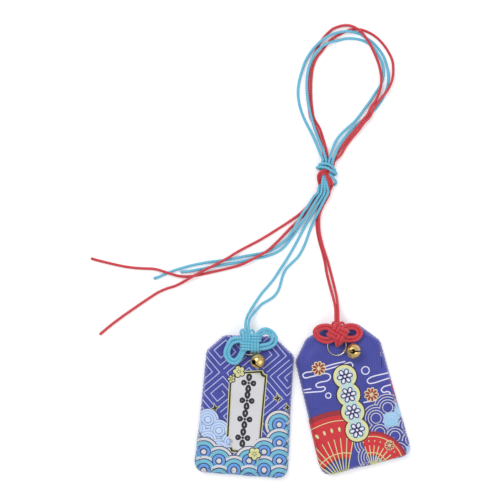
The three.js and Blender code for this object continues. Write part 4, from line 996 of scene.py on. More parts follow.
def thickened(sheet):
    """The sheet smoothed and given its cloth's thickness, as a plain mesh."""
    smooth = sheet.modifiers.new("smooth", "SUBSURF")
    smooth.levels = smooth.render_levels = 1
    smooth.boundary_smooth = "PRESERVE_CORNERS"
    solid = sheet.modifiers.new("thick", "SOLIDIFY")
    solid.thickness = CLOTH * MM
    solid.offset = -1
    made_plain(sheet)


# The front panels' surfaces, which the prints are laid on, and the seeds of their unevenness
surfaces = {}
SEEDS = {"left": 0.4, "right": 2.1}


def make_pouch(side, charm, seed):
    """The front and back panel of one pouch."""
    verts, faces, inside = panel(charm, front_height(seed))
    front = finish_mesh(side + "_pouch_front", verts, faces, BROCADE)
    settle(front, np.flatnonzero(inside < SEWN_DEPTH).tolist())
    thickened(front)
    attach(front, side + "_charm")
    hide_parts(side + "_front_panel")
    surfaces[side] = BVHTree.FromObject(front, bpy.context.evaluated_depsgraph_get())

    verts, faces, _ = panel(charm, back_height)
    back = finish_mesh(side + "_pouch_back", verts, [f[::-1] for f in faces], BROCADE)
    thickened(back)
    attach(back, side + "_charm")
    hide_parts(side + "_back_panel")


for side, charm in CHARMS.items():
    make_pouch(side, charm, SEEDS[side])


# Rings and bells

# The bell's place over the pouch, the steps of its wall and of a turn, and the run of its beaded rims
BELL_CLEAR = 0.3
WALL_STEPS = 22
TURN_STEPS = 64
BEAD_RUN = 0.07
# Angles from the equator at which crown and bowl start and end, their beads, and the hole for the eye
POLE_HOLE = 0.8
CROWN_RIM = -0.03
CROWN_POLE = -math.acos(POLE_HOLE / BELL_RADIUS)
CROWN_BEAD = 0.16
BOWL_RIM = 0.045
BOWL_POLE = math.pi / 2 - 0.02
BOWL_BEAD = 0.1
# The slit's half width, the share of its ends' height that its cut starts from, and the round keyholes
BELL_SLIT_HALF = 0.42
BELL_SLIT_DEPTH = 0.9
KEYHOLE = 1.4
KEYHOLE_TURN = math.radians(66)
KEYHOLE_FROM = 2.0
KEYHOLE_LONG = 4.0
KEYHOLE_STEPS = 32
# The eye's stem and rivet as places along the bell's axis, and their radii
STEM = (EYE_RADIUS, 1.4, 2.0)
STEM_RADIUS = 0.5
RIVET = (2.15, 2.35, 2.55)
RIVET_RADIUS = 1.0
EYE_STEPS = 40
# The pellet lies one clearance past the rivet
PELLET_RADIUS = 1.3
PELLET_CLEAR = 0.2
PELLET_PLACE = RIVET[-1] + PELLET_CLEAR + PELLET_RADIUS
PELLET_POLE = 1.52
PELLET_STEPS = 24
RING_TILT = math.asin((RING_HIGH - RING_LOW) / (2 * RING_RADIUS))
RING_STEPS = 96


def bell_axes(charm):
    """The bell's eye, and its axes: along its slit, across it, and from the eye through the bell."""
    ring = on_charm(charm, *charm["ring"])
    eye = np.array([*beside(ring, charm["eye_angle"], RING_RADIUS * math.cos(RING_TILT)), RING_HIGH])
    tilt = math.asin((FACE + BELL_CLEAR + BELL_RADIUS - RING_HIGH) / BELL_REACH)
    heading = charm["heading"]
    axis = np.array([math.cos(tilt) * math.cos(heading), math.cos(tilt) * math.sin(heading), math.sin(tilt)])
    sideways = np.array([-math.sin(heading), math.cos(heading), 0])
    upward = np.cross(axis, sideways)
    slit = math.cos(charm["slit_turn"]) * sideways + math.sin(charm["slit_turn"]) * upward
    return eye, np.array([slit, np.cross(axis, slit), axis])


def revolve(profile, steps):
    """A closed profile of (radius, height), taken anticlockwise, turned about Z."""
    verts = [(r * math.cos(turn), r * math.sin(turn), z) for turn in full_turn(steps) for r, z in profile]
    return np.array(verts), [f[::-1] for f in between_rings(steps, len(profile), closed=True)]


def shell_profile(first, last, bead):
    """A spherical wall between two angles from the equator, with a bead along its rim."""
    angles = np.linspace(first, last, WALL_STEPS)
    outer = BELL_RADIUS + bead * np.exp(-((angles - first) / BEAD_RUN) ** 2)
    inner = np.full(WALL_STEPS, BELL_RADIUS - BELL_WALL)
    walls = zip(np.concatenate([outer, inner]), np.concatenate([angles, angles[::-1]]))
    return [(r * math.cos(a), r * math.sin(a)) for r, a in walls]


def slit_cutter():
    """A box along the slit, from a little inside the bowl to past its end."""
    reach = BELL_RADIUS * math.sin(KEYHOLE_TURN)
    low = BELL_RADIUS * math.cos(KEYHOLE_TURN) * BELL_SLIT_DEPTH
    verts = [(x * reach, y * BELL_SLIT_HALF, z) for z in (low, 2 * BELL_RADIUS)
             for x, y in ((-1, -1), (1, -1), (1, 1), (-1, 1))]
    return finish_mesh("slit_cut", verts, capped(2, 4), BRASS_PAINTED_SHADE)


def keyhole_cutter(turn):
    """A round bar from inside the bell out through its wall, turned from the axis along the slit."""
    around = full_turn(KEYHOLE_STEPS)
    low = KEYHOLE * np.column_stack([np.cos(around), np.sin(around), 0 * around]) + [0, 0, KEYHOLE_FROM]
    c, s = math.cos(turn), math.sin(turn)
    verts = np.vstack([low, low + [0, 0, KEYHOLE_LONG]]) @ np.array([[c, 0, -s], [0, 1, 0], [s, 0, c]])
    return finish_mesh("keyhole_cut", verts, capped(2, KEYHOLE_STEPS), BRASS_PAINTED_SHADE)


def cut_bowl(bowl):
    """Cuts the slit and its two keyhole ends, with the bowl still upright about its centre."""
    cutters = [slit_cutter(), keyhole_cutter(-KEYHOLE_TURN), keyhole_cutter(KEYHOLE_TURN)]
    for cutter in cutters:
        cut = bowl.modifiers.new("cut", "BOOLEAN")
        cut.operation = "DIFFERENCE"
        cut.solver = "EXACT"
        cut.object = cutter
    made_plain(bowl)
    for cutter in cutters:
        bpy.data.objects.remove(cutter)


def move_to_charm(made, charm, along):
    """Moves an upright bell piece along the bell's axis and then to its place on the charm."""
    eye, axes = bell_axes(charm)
    upright = np.array([v.co for v in made.data.vertices]) / MM + [0, 0, along]
    made.data.vertices.foreach_set("co", ((eye + upright @ axes) * MM).ravel())
    made.data.update()


def brass_piece(made, body, *nodes):
    """Sets a metal piece on its body, in the place of its solids."""
    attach(made, body)
    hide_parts(*nodes)


def darken_inside(made):
    """Gives the faces of an upright shell that look at its centre the painted shade of the bell's inside."""
    made.data.materials.append(BRASS_PAINTED_SHADE)
    for face in made.data.polygons:
        if face.normal.dot(face.center) < 0:
            face.material_index = len(made.data.materials) - 1


def make_crown(side, charm):
    """The half of the bell round its eye; its profile runs clockwise, so its faces are turned over."""
    verts, faces = revolve(shell_profile(CROWN_RIM, CROWN_POLE, CROWN_BEAD), TURN_STEPS)
    crown = finish_mesh(side + "_bell_crown_shell", verts, [f[::-1] for f in faces], BRASS)
    darken_inside(crown)
    move_to_charm(crown, charm, BELL_REACH)
    brass_piece(crown, side + "_bell", side + "_bell_crown")


def make_bowl(side, charm):
    """The half of the bell with the slit."""
    verts, faces = revolve(shell_profile(BOWL_RIM, BOWL_POLE, BOWL_BEAD), TURN_STEPS)
    bowl = finish_mesh(side + "_bell_bowl_shell", verts, faces, BRASS)
    cut_bowl(bowl)
    darken_inside(bowl)
    move_to_charm(bowl, charm, BELL_REACH)
    brass_piece(bowl, side + "_bell", side + "_bell_bowl")


def make_eye(side, charm):
    """The wire loop on the ring, with its stem through the crown and the rivet inside."""
    eye, (_, _, axis) = bell_axes(charm)
    wire = np.array([-math.sin(charm["eye_angle"]), math.cos(charm["eye_angle"]), 0])
    across = np.cross(axis, wire - axis * (wire @ axis))
    across /= np.linalg.norm(across)
    turn = full_turn(EYE_STEPS)[:, None]
    loop = eye + EYE_RADIUS * (np.cos(turn) * axis + np.sin(turn) * across)
    stem, rivet = [np.array([eye + axis * t for t in places]) for places in (STEM, RIVET)]
    verts, faces, _ = merged([
        sweep(loop, EYE_WIRE / 2, 12, closed=True, braid=False), sweep(stem, STEM_RADIUS, 12, braid=False),
        sweep(rivet, RIVET_RADIUS, 20, braid=False)])
    brass_piece(finish_mesh(side + "_bell_eye_loop", verts, faces, BRASS), side + "_bell", side + "_bell_eye")


def make_pellet(side, charm):
    """The loose ball in the bell."""
    angles = np.linspace(-PELLET_POLE, PELLET_POLE, 20)
    profile = [(PELLET_RADIUS * math.cos(a), PELLET_RADIUS * math.sin(a)) for a in angles]
    verts, faces = revolve(profile, PELLET_STEPS)
    pellet = finish_mesh(side + "_bell_ball", verts, faces, BRASS)
    move_to_charm(pellet, charm, PELLET_PLACE)
    brass_piece(pellet, side + "_pellet", side + "_bell_pellet")


def make_ring(side, charm):
    """A thin split ring, its low side on the pouch and its high side in the bell's eye."""
    x, y = on_charm(charm, *charm["ring"])
    turn = full_turn(RING_STEPS)
    climb = (RING_HIGH - RING_LOW) / 2 * np.cos(turn - charm["eye_angle"])
    height = (RING_LOW + RING_HIGH) / 2 + climb
    line = np.column_stack([x + RING_RADIUS * np.cos(turn), y + RING_RADIUS * np.sin(turn), height])
    verts, faces, _ = sweep(line, RING_WIRE / 2, 14, closed=True, braid=False)
    brass_piece(finish_mesh(side + "_ring_wire", verts, faces, WIRE), side + "_ring", side + "_ring")


for side, charm in CHARMS.items():
    make_crown(side, charm)
    make_bowl(side, charm)
    make_eye(side, charm)
    make_pellet(side, charm)
    make_ring(side, charm)


# Prints on the pouches: thin inlays that follow the cloth

def printed(name, code, shade):
    """A flat dye on the brocade, with its weave, and the weave's painted shade between threads, showing
    through.
    """
    return woven(name, code, shade, period=WEAVE, height=0.1, roughness=0.6, sheen=0.1)


# Flat dyes printed on the satin: the eye sees clear, slightly chalky colours over the weave; each second
# colour is painted shade between the threads
INKS = {
    "pale": printed("pale violet print", "BCC4EE", "AFB7E4"),
    "white": printed("off white print", "CFCFD3", "C5C5CB"),
    "cloud": printed("cloud white print", "E6E4F6", "DAD8EE"),
    "black": printed("black print", "1B1B25", "14141C"),
    "gold": printed("dull gold print", "DAD9A0", "CDCB8E"),
    "cyan": printed("sea blue print", "6FB6CE", "63A9C4"),
    "blue": printed("cornflower print", "6299DE", "568CD2"),
    "mist": printed("misty blue print", "C3D2EC", "B8C8E6"),
    "navy": printed("navy print", "22295E", "1C2252"),
    "red": printed("scarlet print", "CB2430", "BC1E2A"),
    "wine": printed("wine red print", "9C1F30", "8C1A2A"),
    "rust": printed("rust red print", "9A2E28", "8A2822"),
    "cream": printed("cream print", "E6D7AE", "DACA9C"),
    "sky": printed("light sky print", "96C6E6", "8ABADC"),
    "field": printed("pale sea green print", "B7D3D6", "ABC8CC"),
    "base": printed("violet blue print", *VIOLET),
}
# Pieces of print by pouch and ink, each with its vertices, faces and grooves
prints = {}
# How far beyond its outline, which is down its side, a pouch is printed, and the step of that edge
SIDE_REACH = 2.2
CLIP_STEP = 1.6
outlines = {side: rounded_outline(charm) for side, charm in CHARMS.items()}
clips = {side: rounded_outline(charm, -SIDE_REACH, CLIP_STEP) for side, charm in CHARMS.items()}
# Nearer to the outline than this a print runs down the side, but never quite to the seam
SHOULDER = 1.0
LOWEST_CLIMB = 0.05
SLOPE_STEP = 0.02
CAST_FROM = 3
# Ink layers lie closer together on the flat of the pouch than round its edge
FLAT_RELIEF = 0.35
RELIEF_RUN = [1.2 * EDGE_ROUND, 2.6 * EDGE_ROUND]


def lay(side, flat):
    """A flat pattern laid on the cloth, with the ways out of it; past the shoulder it runs down the side."""
    outline = outlines[side]
    ahead = np.roll(outline, -1, axis=0) - outline
    inward = np.column_stack([-ahead[:, 1], ahead[:, 0]]) / np.linalg.norm(ahead, axis=1)[:, None]
    depths = np.einsum("pnk,nk->pn", flat[:, None] - outline[None], inward)
    depth = depths.min(axis=1)
    inward = inward[depths.argmin(axis=1)]
    climbed = rise(SHOULDER) - (SHOULDER - depth) / SIDE_RISE
    inset = np.where(depth > SHOULDER, depth, run_in(np.clip(climbed, LOWEST_CLIMB, 1)))
    slope = SIDE_RISE * (rise(inset + SLOPE_STEP) - rise(inset - SLOPE_STEP)) / (2 * SLOPE_STEP)
    spots = np.column_stack([flat + (inset - depth)[:, None] * inward, SEAM + SIDE_RISE * rise(inset)])
    out = np.column_stack([-slope[:, None] * inward, np.ones(len(flat))])
    out /= np.linalg.norm(out, axis=1)[:, None]
    for i in range(len(flat)):
        hit = surfaces[side].ray_cast(Vector((spots[i] + CAST_FROM * out[i]) * MM), Vector(-out[i]))[0]
        if hit:
            spots[i] = np.array(hit) / MM
    return spots, out * np.interp(depth, RELIEF_RUN, [1, FLAT_RELIEF])[:, None]


def keep(side, ink, part):
    """Adds a piece to all that is printed in one ink on one pouch."""
    prints.setdefault((side, ink), []).append(part)


def clipped(side, points):
    """The part of a polygon that lies on the pouch."""
    outline = clips[side]
    for a, b in zip(outline, np.roll(outline, -1, axis=0)):
        normal = np.array([a[1] - b[1], b[0] - a[0]])
        out = []
        for p, q in zip(points, np.roll(points, -1, axis=0)):
            s, t = (p - a) @ normal, (q - a) @ normal
            if s >= 0:
                out.append(p)
            if s * t < 0:
                out.append(p + (q - p) * s / (s - t))
        points = np.array(out)
        if len(points) < 3:
            return None
    return points


def within(points, polygon):
    """Which points lie inside a polygon."""
    x, y = points[:, 0], points[:, 1]
    inside = np.zeros(len(points), bool)
    for a, b in zip(polygon, np.roll(polygon, -1, axis=0)):
        if a[1] != b[1]:
            cross = ((a[1] > y) != (b[1] > y)) & (x < (b[0] - a[0]) * (y - a[1]) / (b[1] - a[1]) + a[0])
            inside ^= cross
    return inside


# The grid inside a patch and how near its rim it comes, the step along a line and how sharp its corners
# may be, and how deep prints reach into the cloth
PRINT_GRID = 0.75
GRID_CLEAR = 0.4 * PRINT_GRID
LINE_STEP = 0.7
CORNER_LIMIT = 0.35
PRINT_ROOT = 0.2


def patch(side, ink, points, lift):
    """A filled polygon laid on the cloth, closed on all sides."""
    points = clipped(side, np.asarray(points, float))
    if points is None:
        return
    rim = resample(points, PRINT_GRID, closed=True)
    if len(rim) < 3:
        return
    grid = hex_grid(rim.min(axis=0), rim.max(axis=0), PRINT_GRID)
    if len(grid):
        near = np.linalg.norm(grid[:, None] - rim[None], axis=2).min(axis=1)
        grid = grid[within(grid, rim) & (near > GRID_CLEAR)]
    flat = np.vstack([rim, grid])
    edges = [(i, (i + 1) % len(rim)) for i in range(len(rim))]
    spots, _, faces, _, _, _ = delaunay_2d_cdt([Vector(p) for p in flat], edges, [], 1, 1e-5)
    flat = np.array(spots)
    spots, out = lay(side, flat)
    count = len(flat)
    verts = np.vstack([spots + lift * out, spots - PRINT_ROOT * out])
    sides = dict.fromkeys((a, b) for f in faces for a, b in zip(f, f[1:] + f[:1]))
    walls = [(b, a, a + count, b + count) for a, b in sides if (b, a) not in sides]
    under = [tuple(i + count for i in f[::-1]) for f in faces]
    keep(side, ink, (verts, list(faces) + under + walls, np.zeros(2 * count)))


def ribbon(side, ink, points, width, lift, closed=False):
    """A printed line of even width laid on the cloth, in as many runs as stay on the pouch."""
    points = np.asarray(points, float)
    if closed:
        points = np.vstack([points, points[:1]])
    stations, across = [], []
    count = len(points)
    steps = np.diff(points, axis=0)
    steps /= np.maximum(np.linalg.norm(steps, axis=1), 1e-9)[:, None]
    side_of = np.column_stack([-steps[:, 1], steps[:, 0]])
    for i in range(count):
        before = side_of[i - 1] if i else (side_of[-1] if closed else side_of[0])
        after = side_of[i] if i < count - 1 else (side_of[0] if closed else side_of[-1])
        corner = before + after
        corner /= max(corner @ corner / 2, CORNER_LIMIT)
        stations.append(points[i])
        across.append(corner)
        if i < count - 1:
            cuts = int(np.linalg.norm(points[i + 1] - points[i]) / LINE_STEP)
            for k in range(1, cuts + 1):
                stations.append(points[i] + (points[i + 1] - points[i]) * k / (cuts + 1))
                across.append(side_of[i])
    stations, across = np.array(stations), np.array(across)
    on = edge_distance(stations, clips[side]) > width / 2
    start = None
    for i in range(len(stations) + 1):
        if i < len(stations) and on[i]:
            start = i if start is None else start
        elif start is not None:
            if i - start > 1:
                strip(side, ink, stations[start:i], across[start:i] * width / 2, lift)
            start = None


def strip(side, ink, line, half, lift):
    """One unbroken run of a printed line, closed on all sides."""
    count = len(line)
    left, right = line + half, line - half
    flat = np.vstack([left, right])
    spots, out = lay(side, flat)
    verts = np.vstack([spots + lift * out, spots - PRINT_ROOT * out])
    faces = []
    for i in range(count - 1):
        a, b, c, d = i, i + 1, count + i + 1, count + i
        low = 2 * count
        faces += [(a, d, c, b), (a + low, b + low, c + low, d + low), (a, b, b + low, a + low),
                  (d, d + low, c + low, c)]
    low, end = 2 * count, count - 1
    faces += [(0, low, low + count, count), (end, count + end, low + count + end, low + end)]
    keep(side, ink, (verts, faces, np.zeros(len(verts))))


# Degrees times millimetres of a circle that one step covers
CIRCLE_STEP = 30
SMOOTH_STEP = 0.5


def circle(centre, radius, first=0.0, last=360.0, steps=None):
    """Points round a circle, or along an arc of it between two angles in degrees."""
    steps = steps or max(10, int(radius * abs(last - first) / CIRCLE_STEP))
    whole = abs(last - first) >= 360
    turn = np.radians(np.linspace(first, last, steps, endpoint=not whole))
    return np.column_stack([centre[0] + radius * np.cos(turn), centre[1] + radius * np.sin(turn)])


def photo_line(points):
    """A smooth line through places in the photo's pixels."""
    return smooth_line([photo(*p) for p in points], SMOOTH_STEP)


def petal(centre, angle, start, end, half):
    """A rounded petal that points away from a flower's centre."""
    t = full_turn(16)
    along = (start + end) / 2 - (end - start) / 2 * np.cos(t)
    wide = half * np.sin(t) * (0.75 + 0.25 * (along - start) / (end - start))
    c, s = math.cos(angle), math.sin(angle)
    return np.column_stack([centre[0] + c * along - s * wide, centre[1] + s * along + c * wide])


def blossom(side, centre, size, turn, lift):
    """A plum blossom: five round petals with a dark edge and a ringed heart."""
    angles = full_turn(5, turn + math.pi / 2)
    for a in angles:
        patch(side, "black", circle(beside(centre, a, 0.55 * size), 0.47 * size, steps=20), lift)
    patch(side, "black", circle(centre, 0.5 * size, steps=20), lift)
    for a in angles:
        patch(side, "gold", circle(beside(centre, a, 0.55 * size), 0.47 * size - 0.45, steps=20), lift + 0.05)
    patch(side, "gold", circle(centre, 0.34 * size, steps=20), lift + 0.055)
    ribbon(side, "black", circle(centre, 0.2 * size, steps=14), 0.22, lift + 0.09, closed=True)
    for a in angles:
        ribbon(side, "black", [beside(centre, a, t * size) for t in (0.25, 0.5)], 0.2, lift + 0.09)


def chrysanthemum(side, centre, size, lift):
    """Nine narrow red petals edged in cream round a small cream heart."""
    for a in full_turn(9):
        patch(side, "cream", petal(centre, a, 0.06 * size, size, 0.3 * size), lift)
    for a in full_turn(9):
        patch(side, "rust", petal(centre, a, 0.2 * size, 0.9 * size, 0.17 * size), lift + 0.06)
    patch(side, "cream", circle(centre, 0.14 * size, steps=14), lift + 0.08)


def lozenge_flower(side, centre, size, turn, lift):
    """A flower of four petals in a lozenge, a plain woven ornament."""
    for k, a in enumerate(full_turn(4, turn)):
        reach = size * (1.0 if k % 2 else 0.8)
        patch(side, "black", petal(centre, a, 0.16 * size, reach, 0.36 * size), lift)
        patch(side, "white", petal(centre, a, 0.45 * size, 0.78 * reach, 0.06 * size), lift + 0.04)
    patch(side, "black", circle(centre, 0.15 * size, steps=12), lift)


def star_flower(side, centre, size, turn, lift):
    """A plain ornament of six petals, white on a dark shadow."""
    for a in full_turn(6, turn):
        patch(side, "navy", petal(centre, a, 0.1 * size, size, 0.36 * size), lift)
    for a in full_turn(6, turn):
        patch(side, "cloud", petal(centre, a, 0.3 * size, 0.88 * size, 0.21 * size), lift + 0.05)
    patch(side, "cloud", circle(centre, 0.17 * size, steps=14), lift + 0.06)


def glint(side, centre, size, lift):
    """A four-pointed star, gold round a dark heart."""
    for ink, reach, waist, over in (("gold", size, 0.36, 0), ("black", 0.78 * size, 0.3, 0.05)):
        turn = full_turn(8, math.radians(8))
        out = np.where(np.arange(8) % 2, waist * reach, reach)
        star = np.column_stack([centre[0] + out * np.cos(turn) * 0.85, centre[1] + out * np.sin(turn)])
        patch(side, ink, star, lift + over)


def wave_scale(side, centre, radius, bands, lift):
    """One wave scale: filled rings from the rim inwards, each an ink and its share of the radius."""
    for i, (ink, share) in enumerate(bands):
        patch(side, ink, circle(centre, radius * share), lift + 0.03 * i)


def notched(corners, radius, inset):
    """A four-sided panel drawn in on all sides, with hollow quarter-round corners."""
    corners = np.array(corners, float)
    outline = []
    for i, corner in enumerate(corners):
        before, after = corners[i - 1] - corner, corners[(i + 1) % 4] - corner
        before /= np.linalg.norm(before)
        after /= np.linalg.norm(after)
        spot = corner + inset * (before + after)
        for t in np.linspace(0, math.pi / 2, 8):
            outline.append(spot + radius * (math.cos(t) * before + math.sin(t) * after))
    return np.array(outline)


def fan(side, pivot, radius, first, last, ribs, lift):
    """An open folding fan: a scarlet leaf with a wine rim, gold ribs and gold edge lines."""
    for ink, outer, inner, trim, over in (("wine", 1, 0.34, 0, 0), ("red", 0.93, 0.36, 1, 0.04)):
        patch(side, ink, np.vstack([circle(pivot, outer * radius, first + trim, last - trim),
                                    circle(pivot, inner * radius, last - trim, first + trim)]), lift + over)
    for share in (0.86, 0.42):
        ribbon(side, "gold", circle(pivot, share * radius, first, last), 0.45, lift + 0.07)
    for a in np.radians(np.linspace(first + 2, last - 2, ribs)):
        ribbon(side, "gold", [beside(pivot, a, t * radius) for t in (0.04, 0.3, 0.62)], 0.5, lift + 0.08)
        drop = petal(beside(pivot, a, 0.74 * radius), a, -0.035 * radius, 0.035 * radius, 0.02 * radius)
        patch(side, "gold", drop, lift + 0.08)
    patch(side, "gold", circle(pivot, 0.06 * radius, steps=14), lift + 0.1)


# Places of the prints are in the photo's pixels and their sizes in millimetres. A lift is how far a
# layer's top stands over the cloth round the edge of the pouch.

# Left pouch: slanting key fret, misty scales, a framed slip panel, blossoms, and broad sea-blue wave scales

FRET_UNIT = 2.8
FRET_LINE = 0.46
FRET_LIFT = 0.07
FRET_SIDE = 5
FRET_PITCH = 6
FRET_REACH = 5
FRET_CELL = [(0, 0), (5, 0), (5, 5), (0, 5), (0, 1), (4, 1), (4, 4), (1, 4), (1, 2), (3, 2), (3, 3)]
FRET_MIDDLE = (-2.0, -31.0)
MIST_RADIUS = 6.2
MIST_LIFT = 0.09
MIST_STEP = 0.03
MIST_PLACES = [(208, 419), (197, 428), (219, 430), (208, 439), (230, 441), (197, 448), (219, 449)]
MIST_BANDS = [("navy", 1.0), ("mist", 0.96), ("blue", 0.8), ("mist", 0.75), ("blue", 0.56), ("mist", 0.51),
              ("blue", 0.34), ("mist", 0.28)]
# The slip panel's corners and notches, and its layers: ink, how far in from the corners, and lift
PANEL_CORNERS = [(229.5, 371.5), (267.8, 369.3), (260.2, 453), (225.4, 451.5)]
PANEL_NOTCH = 2.6
PANEL_LAYERS = [("gold", 0, 0.3), ("black", 0.45, 0.34), ("gold", 1.35, 0.38), ("white", 1.65, 0.42)]
SLIP_FLOWERS = [(248.7, 382.5), (247, 400), (244.8, 418.5), (242.8, 437)]
SLIP_FLOWER_SIZE = 5.2
SLIP_FLOWER_LIFT = 0.46
# Blossoms with their place, size, turn and lift, and glints with their place and size
PANEL_BLOSSOMS = [(239, 371, 3.6, 0.3, 0.5), (231.5, 378.5, 2.5, 0.3, 0.5)]
SEA_BLOSSOM = (254.5, 453, 3.8, 0.6, 0.66)
GLINTS = [(215, 407.5, 3.3), (277.3, 397.6, 3.5), (287, 407, 3)]
GLINT_LIFT = 0.08
# The sea's rows of scales from the top down
SEA_TOP = 424
SEA_ROW = 9
SEA_COLUMNS = [[279], [294], [279, 189], [264, 294, 204], [249, 279, 189, 219], [204, 234, 264, 294],
               [189, 219, 249, 279]]
SEA_RADIUS = 8.25
SEA_LIFT = 0.2
SEA_STEP = 0.07
SEA_BANDS = [("navy", 1.0), ("white", 0.94), ("navy", 0.77), ("cyan", 0.71), ("navy", 0.48), ("blue", 0.42),
             ("navy", 0.24), ("white", 0.17)]


def key_fret(side, charm):
    """Square spirals in a slanting grid, every other one turned half round."""
    middle = on_charm(charm, *np.add(charm["top"], FRET_MIDDLE))
    for i in range(-FRET_REACH, FRET_REACH):
        for j in range(-FRET_REACH, FRET_REACH):
            line = []
            for a, b in FRET_CELL:
                if (i + j) % 2 == 0:
                    a, b = FRET_SIDE - a, FRET_SIDE - b
                place = (FRET_PITCH * i + a) * FRET_UNIT, (FRET_PITCH * j + b) * FRET_UNIT
                line.append(np.add(middle, turned_by(charm["turn"] + math.pi / 4, *place)))
            ribbon(side, "pale", line, FRET_LINE, FRET_LIFT)


def left_print(side, charm):
    """All that is printed on the left pouch, from the lowest layer up."""
    key_fret(side, charm)
    for i, place in enumerate(MIST_PLACES):
        wave_scale(side, photo(*place), MIST_RADIUS, MIST_BANDS, MIST_LIFT + MIST_STEP * i)
    corners = [photo(*place) for place in PANEL_CORNERS]
    for ink, inset, lift in PANEL_LAYERS:
        patch(side, ink, notched(corners, PANEL_NOTCH, inset), lift)
    for place in SLIP_FLOWERS:
        lozenge_flower(side, photo(*place), SLIP_FLOWER_SIZE, charm["turn"], SLIP_FLOWER_LIFT)
    for x, y, size, turn, lift in PANEL_BLOSSOMS:
        blossom(side, photo(x, y), size, turn, lift)
    for x, y, size in GLINTS:
        glint(side, photo(x, y), size, GLINT_LIFT)
    for row, columns in enumerate(SEA_COLUMNS):
        for x in columns:
            place = photo(x, SEA_TOP + SEA_ROW * row)
            wave_scale(side, place, SEA_RADIUS, SEA_BANDS, SEA_LIFT + SEA_STEP * row)
    x, y, size, turn, lift = SEA_BLOSSOM
    blossom(side, photo(x, y), size, turn, lift)


# Right pouch: cloud lines, wave scales, two folding fans, a lobed frame and chrysanthemums

CLOUDS = [
    [(312, 371.3), (305, 372.3), (302.7, 374.5), (304.5, 377.3), (312, 376), (326, 373), (329.5, 374.5),
     (330, 377.5), (327.5, 380), (319, 382), (315.8, 384), (316.5, 386.3), (320, 386.8), (323.5, 386.2),
     (325, 388.3), (323, 390.3), (313, 391.5), (304, 392.3)],
    [(311, 388.3), (303, 389.5)],
    [(325, 369.5), (345, 363.5), (350, 362), (352.5, 364.5), (351, 367), (348.5, 366)],
    [(324, 366.5), (334, 363.5), (345, 361)],
    [(388, 372.3), (370, 377), (366.8, 380), (368.5, 382.8), (389, 377.6)],
    [(390.5, 384.2), (383, 386.5), (380.8, 389.5), (383, 391.8), (387, 391), (389.5, 392.5), (388, 395.5),
     (378, 399), (363, 402)],
]
CLOUD_LINE = 0.68
CLOUD_LIFT = 0.08
# Rings among the clouds with their place and radius
CLOUD_RINGS = [(365, 370, 2.1), (328, 395, 1.45)]
CLOUD_RING_LINE = 0.6
# Rows of wave scales, placed along the charm's axes from its top, with their slanting left edge
SCALE_RADIUS = 7.6
SCALE_START = (3.5, -48)
SCALE_ROWS = 9
SCALE_COLUMNS = 4
SCALE_ROW = 0.53 * SCALE_RADIUS
SCALE_EDGE = 8
SCALE_SLANT = 1.6
SCALE_LIFT = 0.08
SCALE_STEP = 0.04
SKY_PLACES = ((1, 2), (2, 1), (6, 2), (7, 2), (7, 1))
LINE_BANDS = [("white", 1.0), ("base", 0.94), ("white", 0.8), ("base", 0.74), ("white", 0.6), ("base", 0.54),
              ("white", 0.4), ("base", 0.34)]
SKY_BANDS = [("white", 1.0), ("sky", 0.94), ("mist", 0.8), ("sky", 0.74), ("mist", 0.6), ("sky", 0.54),
             ("mist", 0.4), ("sky", 0.34)]
# Fans with their pivot, radius, first and last angle in degrees, ribs and lift
FANS = [((345, 483), 40.5, 78, 147, 9, 0.5), ((372, 467), 20, 22, 112, 8, 0.6)]
# The lobed frame's middles and its layers: ink, radius and lift; its pale middle runs through all lobes
LOBES = [(344.5, 376), (348.2, 394.2), (352.4, 411.2), (356.7, 429.4)]
LOBE_LAYERS = [("black", 6.9, 0.66), ("gold", 6.35, 0.7), ("field", 4.7, 0.74)]
LOBE_STEP = 0.004
MIDDLE_HALF = 3.2
MIDDLE_LIFT = 0.77
LOBE_FLOWER_SIZE = 4.5
LOBE_FLOWER_LIFT = 0.82
# Chrysanthemums with their place, size and lift
CHRYSANTHEMUMS = [(318.5, 368, 4.2, 0.5), (371, 394, 4.2, 0.5), (389, 444.5, 3.0, 0.75)]
# The slit by the right edge, a navy line of painted shadow where the cloth opens, and a red line along the
# charm's side from its top
SLIT_SHADOW = [(380.4, 355.5), (381, 361), (381.2, 367.5)]
SLIT_SHADOW_LINE = 0.5
SLIT_SHADOW_LIFT = 0.06
RED_EDGE = [(24.5, -34), (24.7, -46), (24.95, -59)]
RED_LINE = 0.7
RED_LIFT = 0.3


def wave_scales(side, charm):
    """Rows of line-drawn scales, some of them filled with sky blue."""
    for row in range(SCALE_ROWS):
        for k in range(SCALE_COLUMNS):
            u = SCALE_START[0] + SCALE_RADIUS * (2 * k - row % 2)
            if u < SCALE_EDGE - SCALE_SLANT * row:
                continue
            place = np.add(charm["top"], (u, SCALE_START[1] - SCALE_ROW * row))
            bands = SKY_BANDS if (row, k) in SKY_PLACES else LINE_BANDS
            wave_scale(side, on_charm(charm, *place), SCALE_RADIUS, bands, SCALE_LIFT + SCALE_STEP * row)


def lobed_frame(side, charm):
    """Four joined discs edged in black and gold, with a pale middle and a flower on each."""
    lobes = np.array([photo(*place) for place in LOBES])
    for ink, radius, lift in LOBE_LAYERS:
        for k, spot in enumerate(lobes):
            patch(side, ink, circle(spot, radius, steps=40), lift + LOBE_STEP * k)
    for a, b in zip(lobes, lobes[1:]):
        across = MIDDLE_HALF * np.array([a[1] - b[1], b[0] - a[0]]) / np.linalg.norm(b - a)
        patch(side, "field", [a + across, a - across, b - across, b + across], MIDDLE_LIFT)
    for spot in lobes:
        star_flower(side, spot, LOBE_FLOWER_SIZE, charm["turn"], LOBE_FLOWER_LIFT)


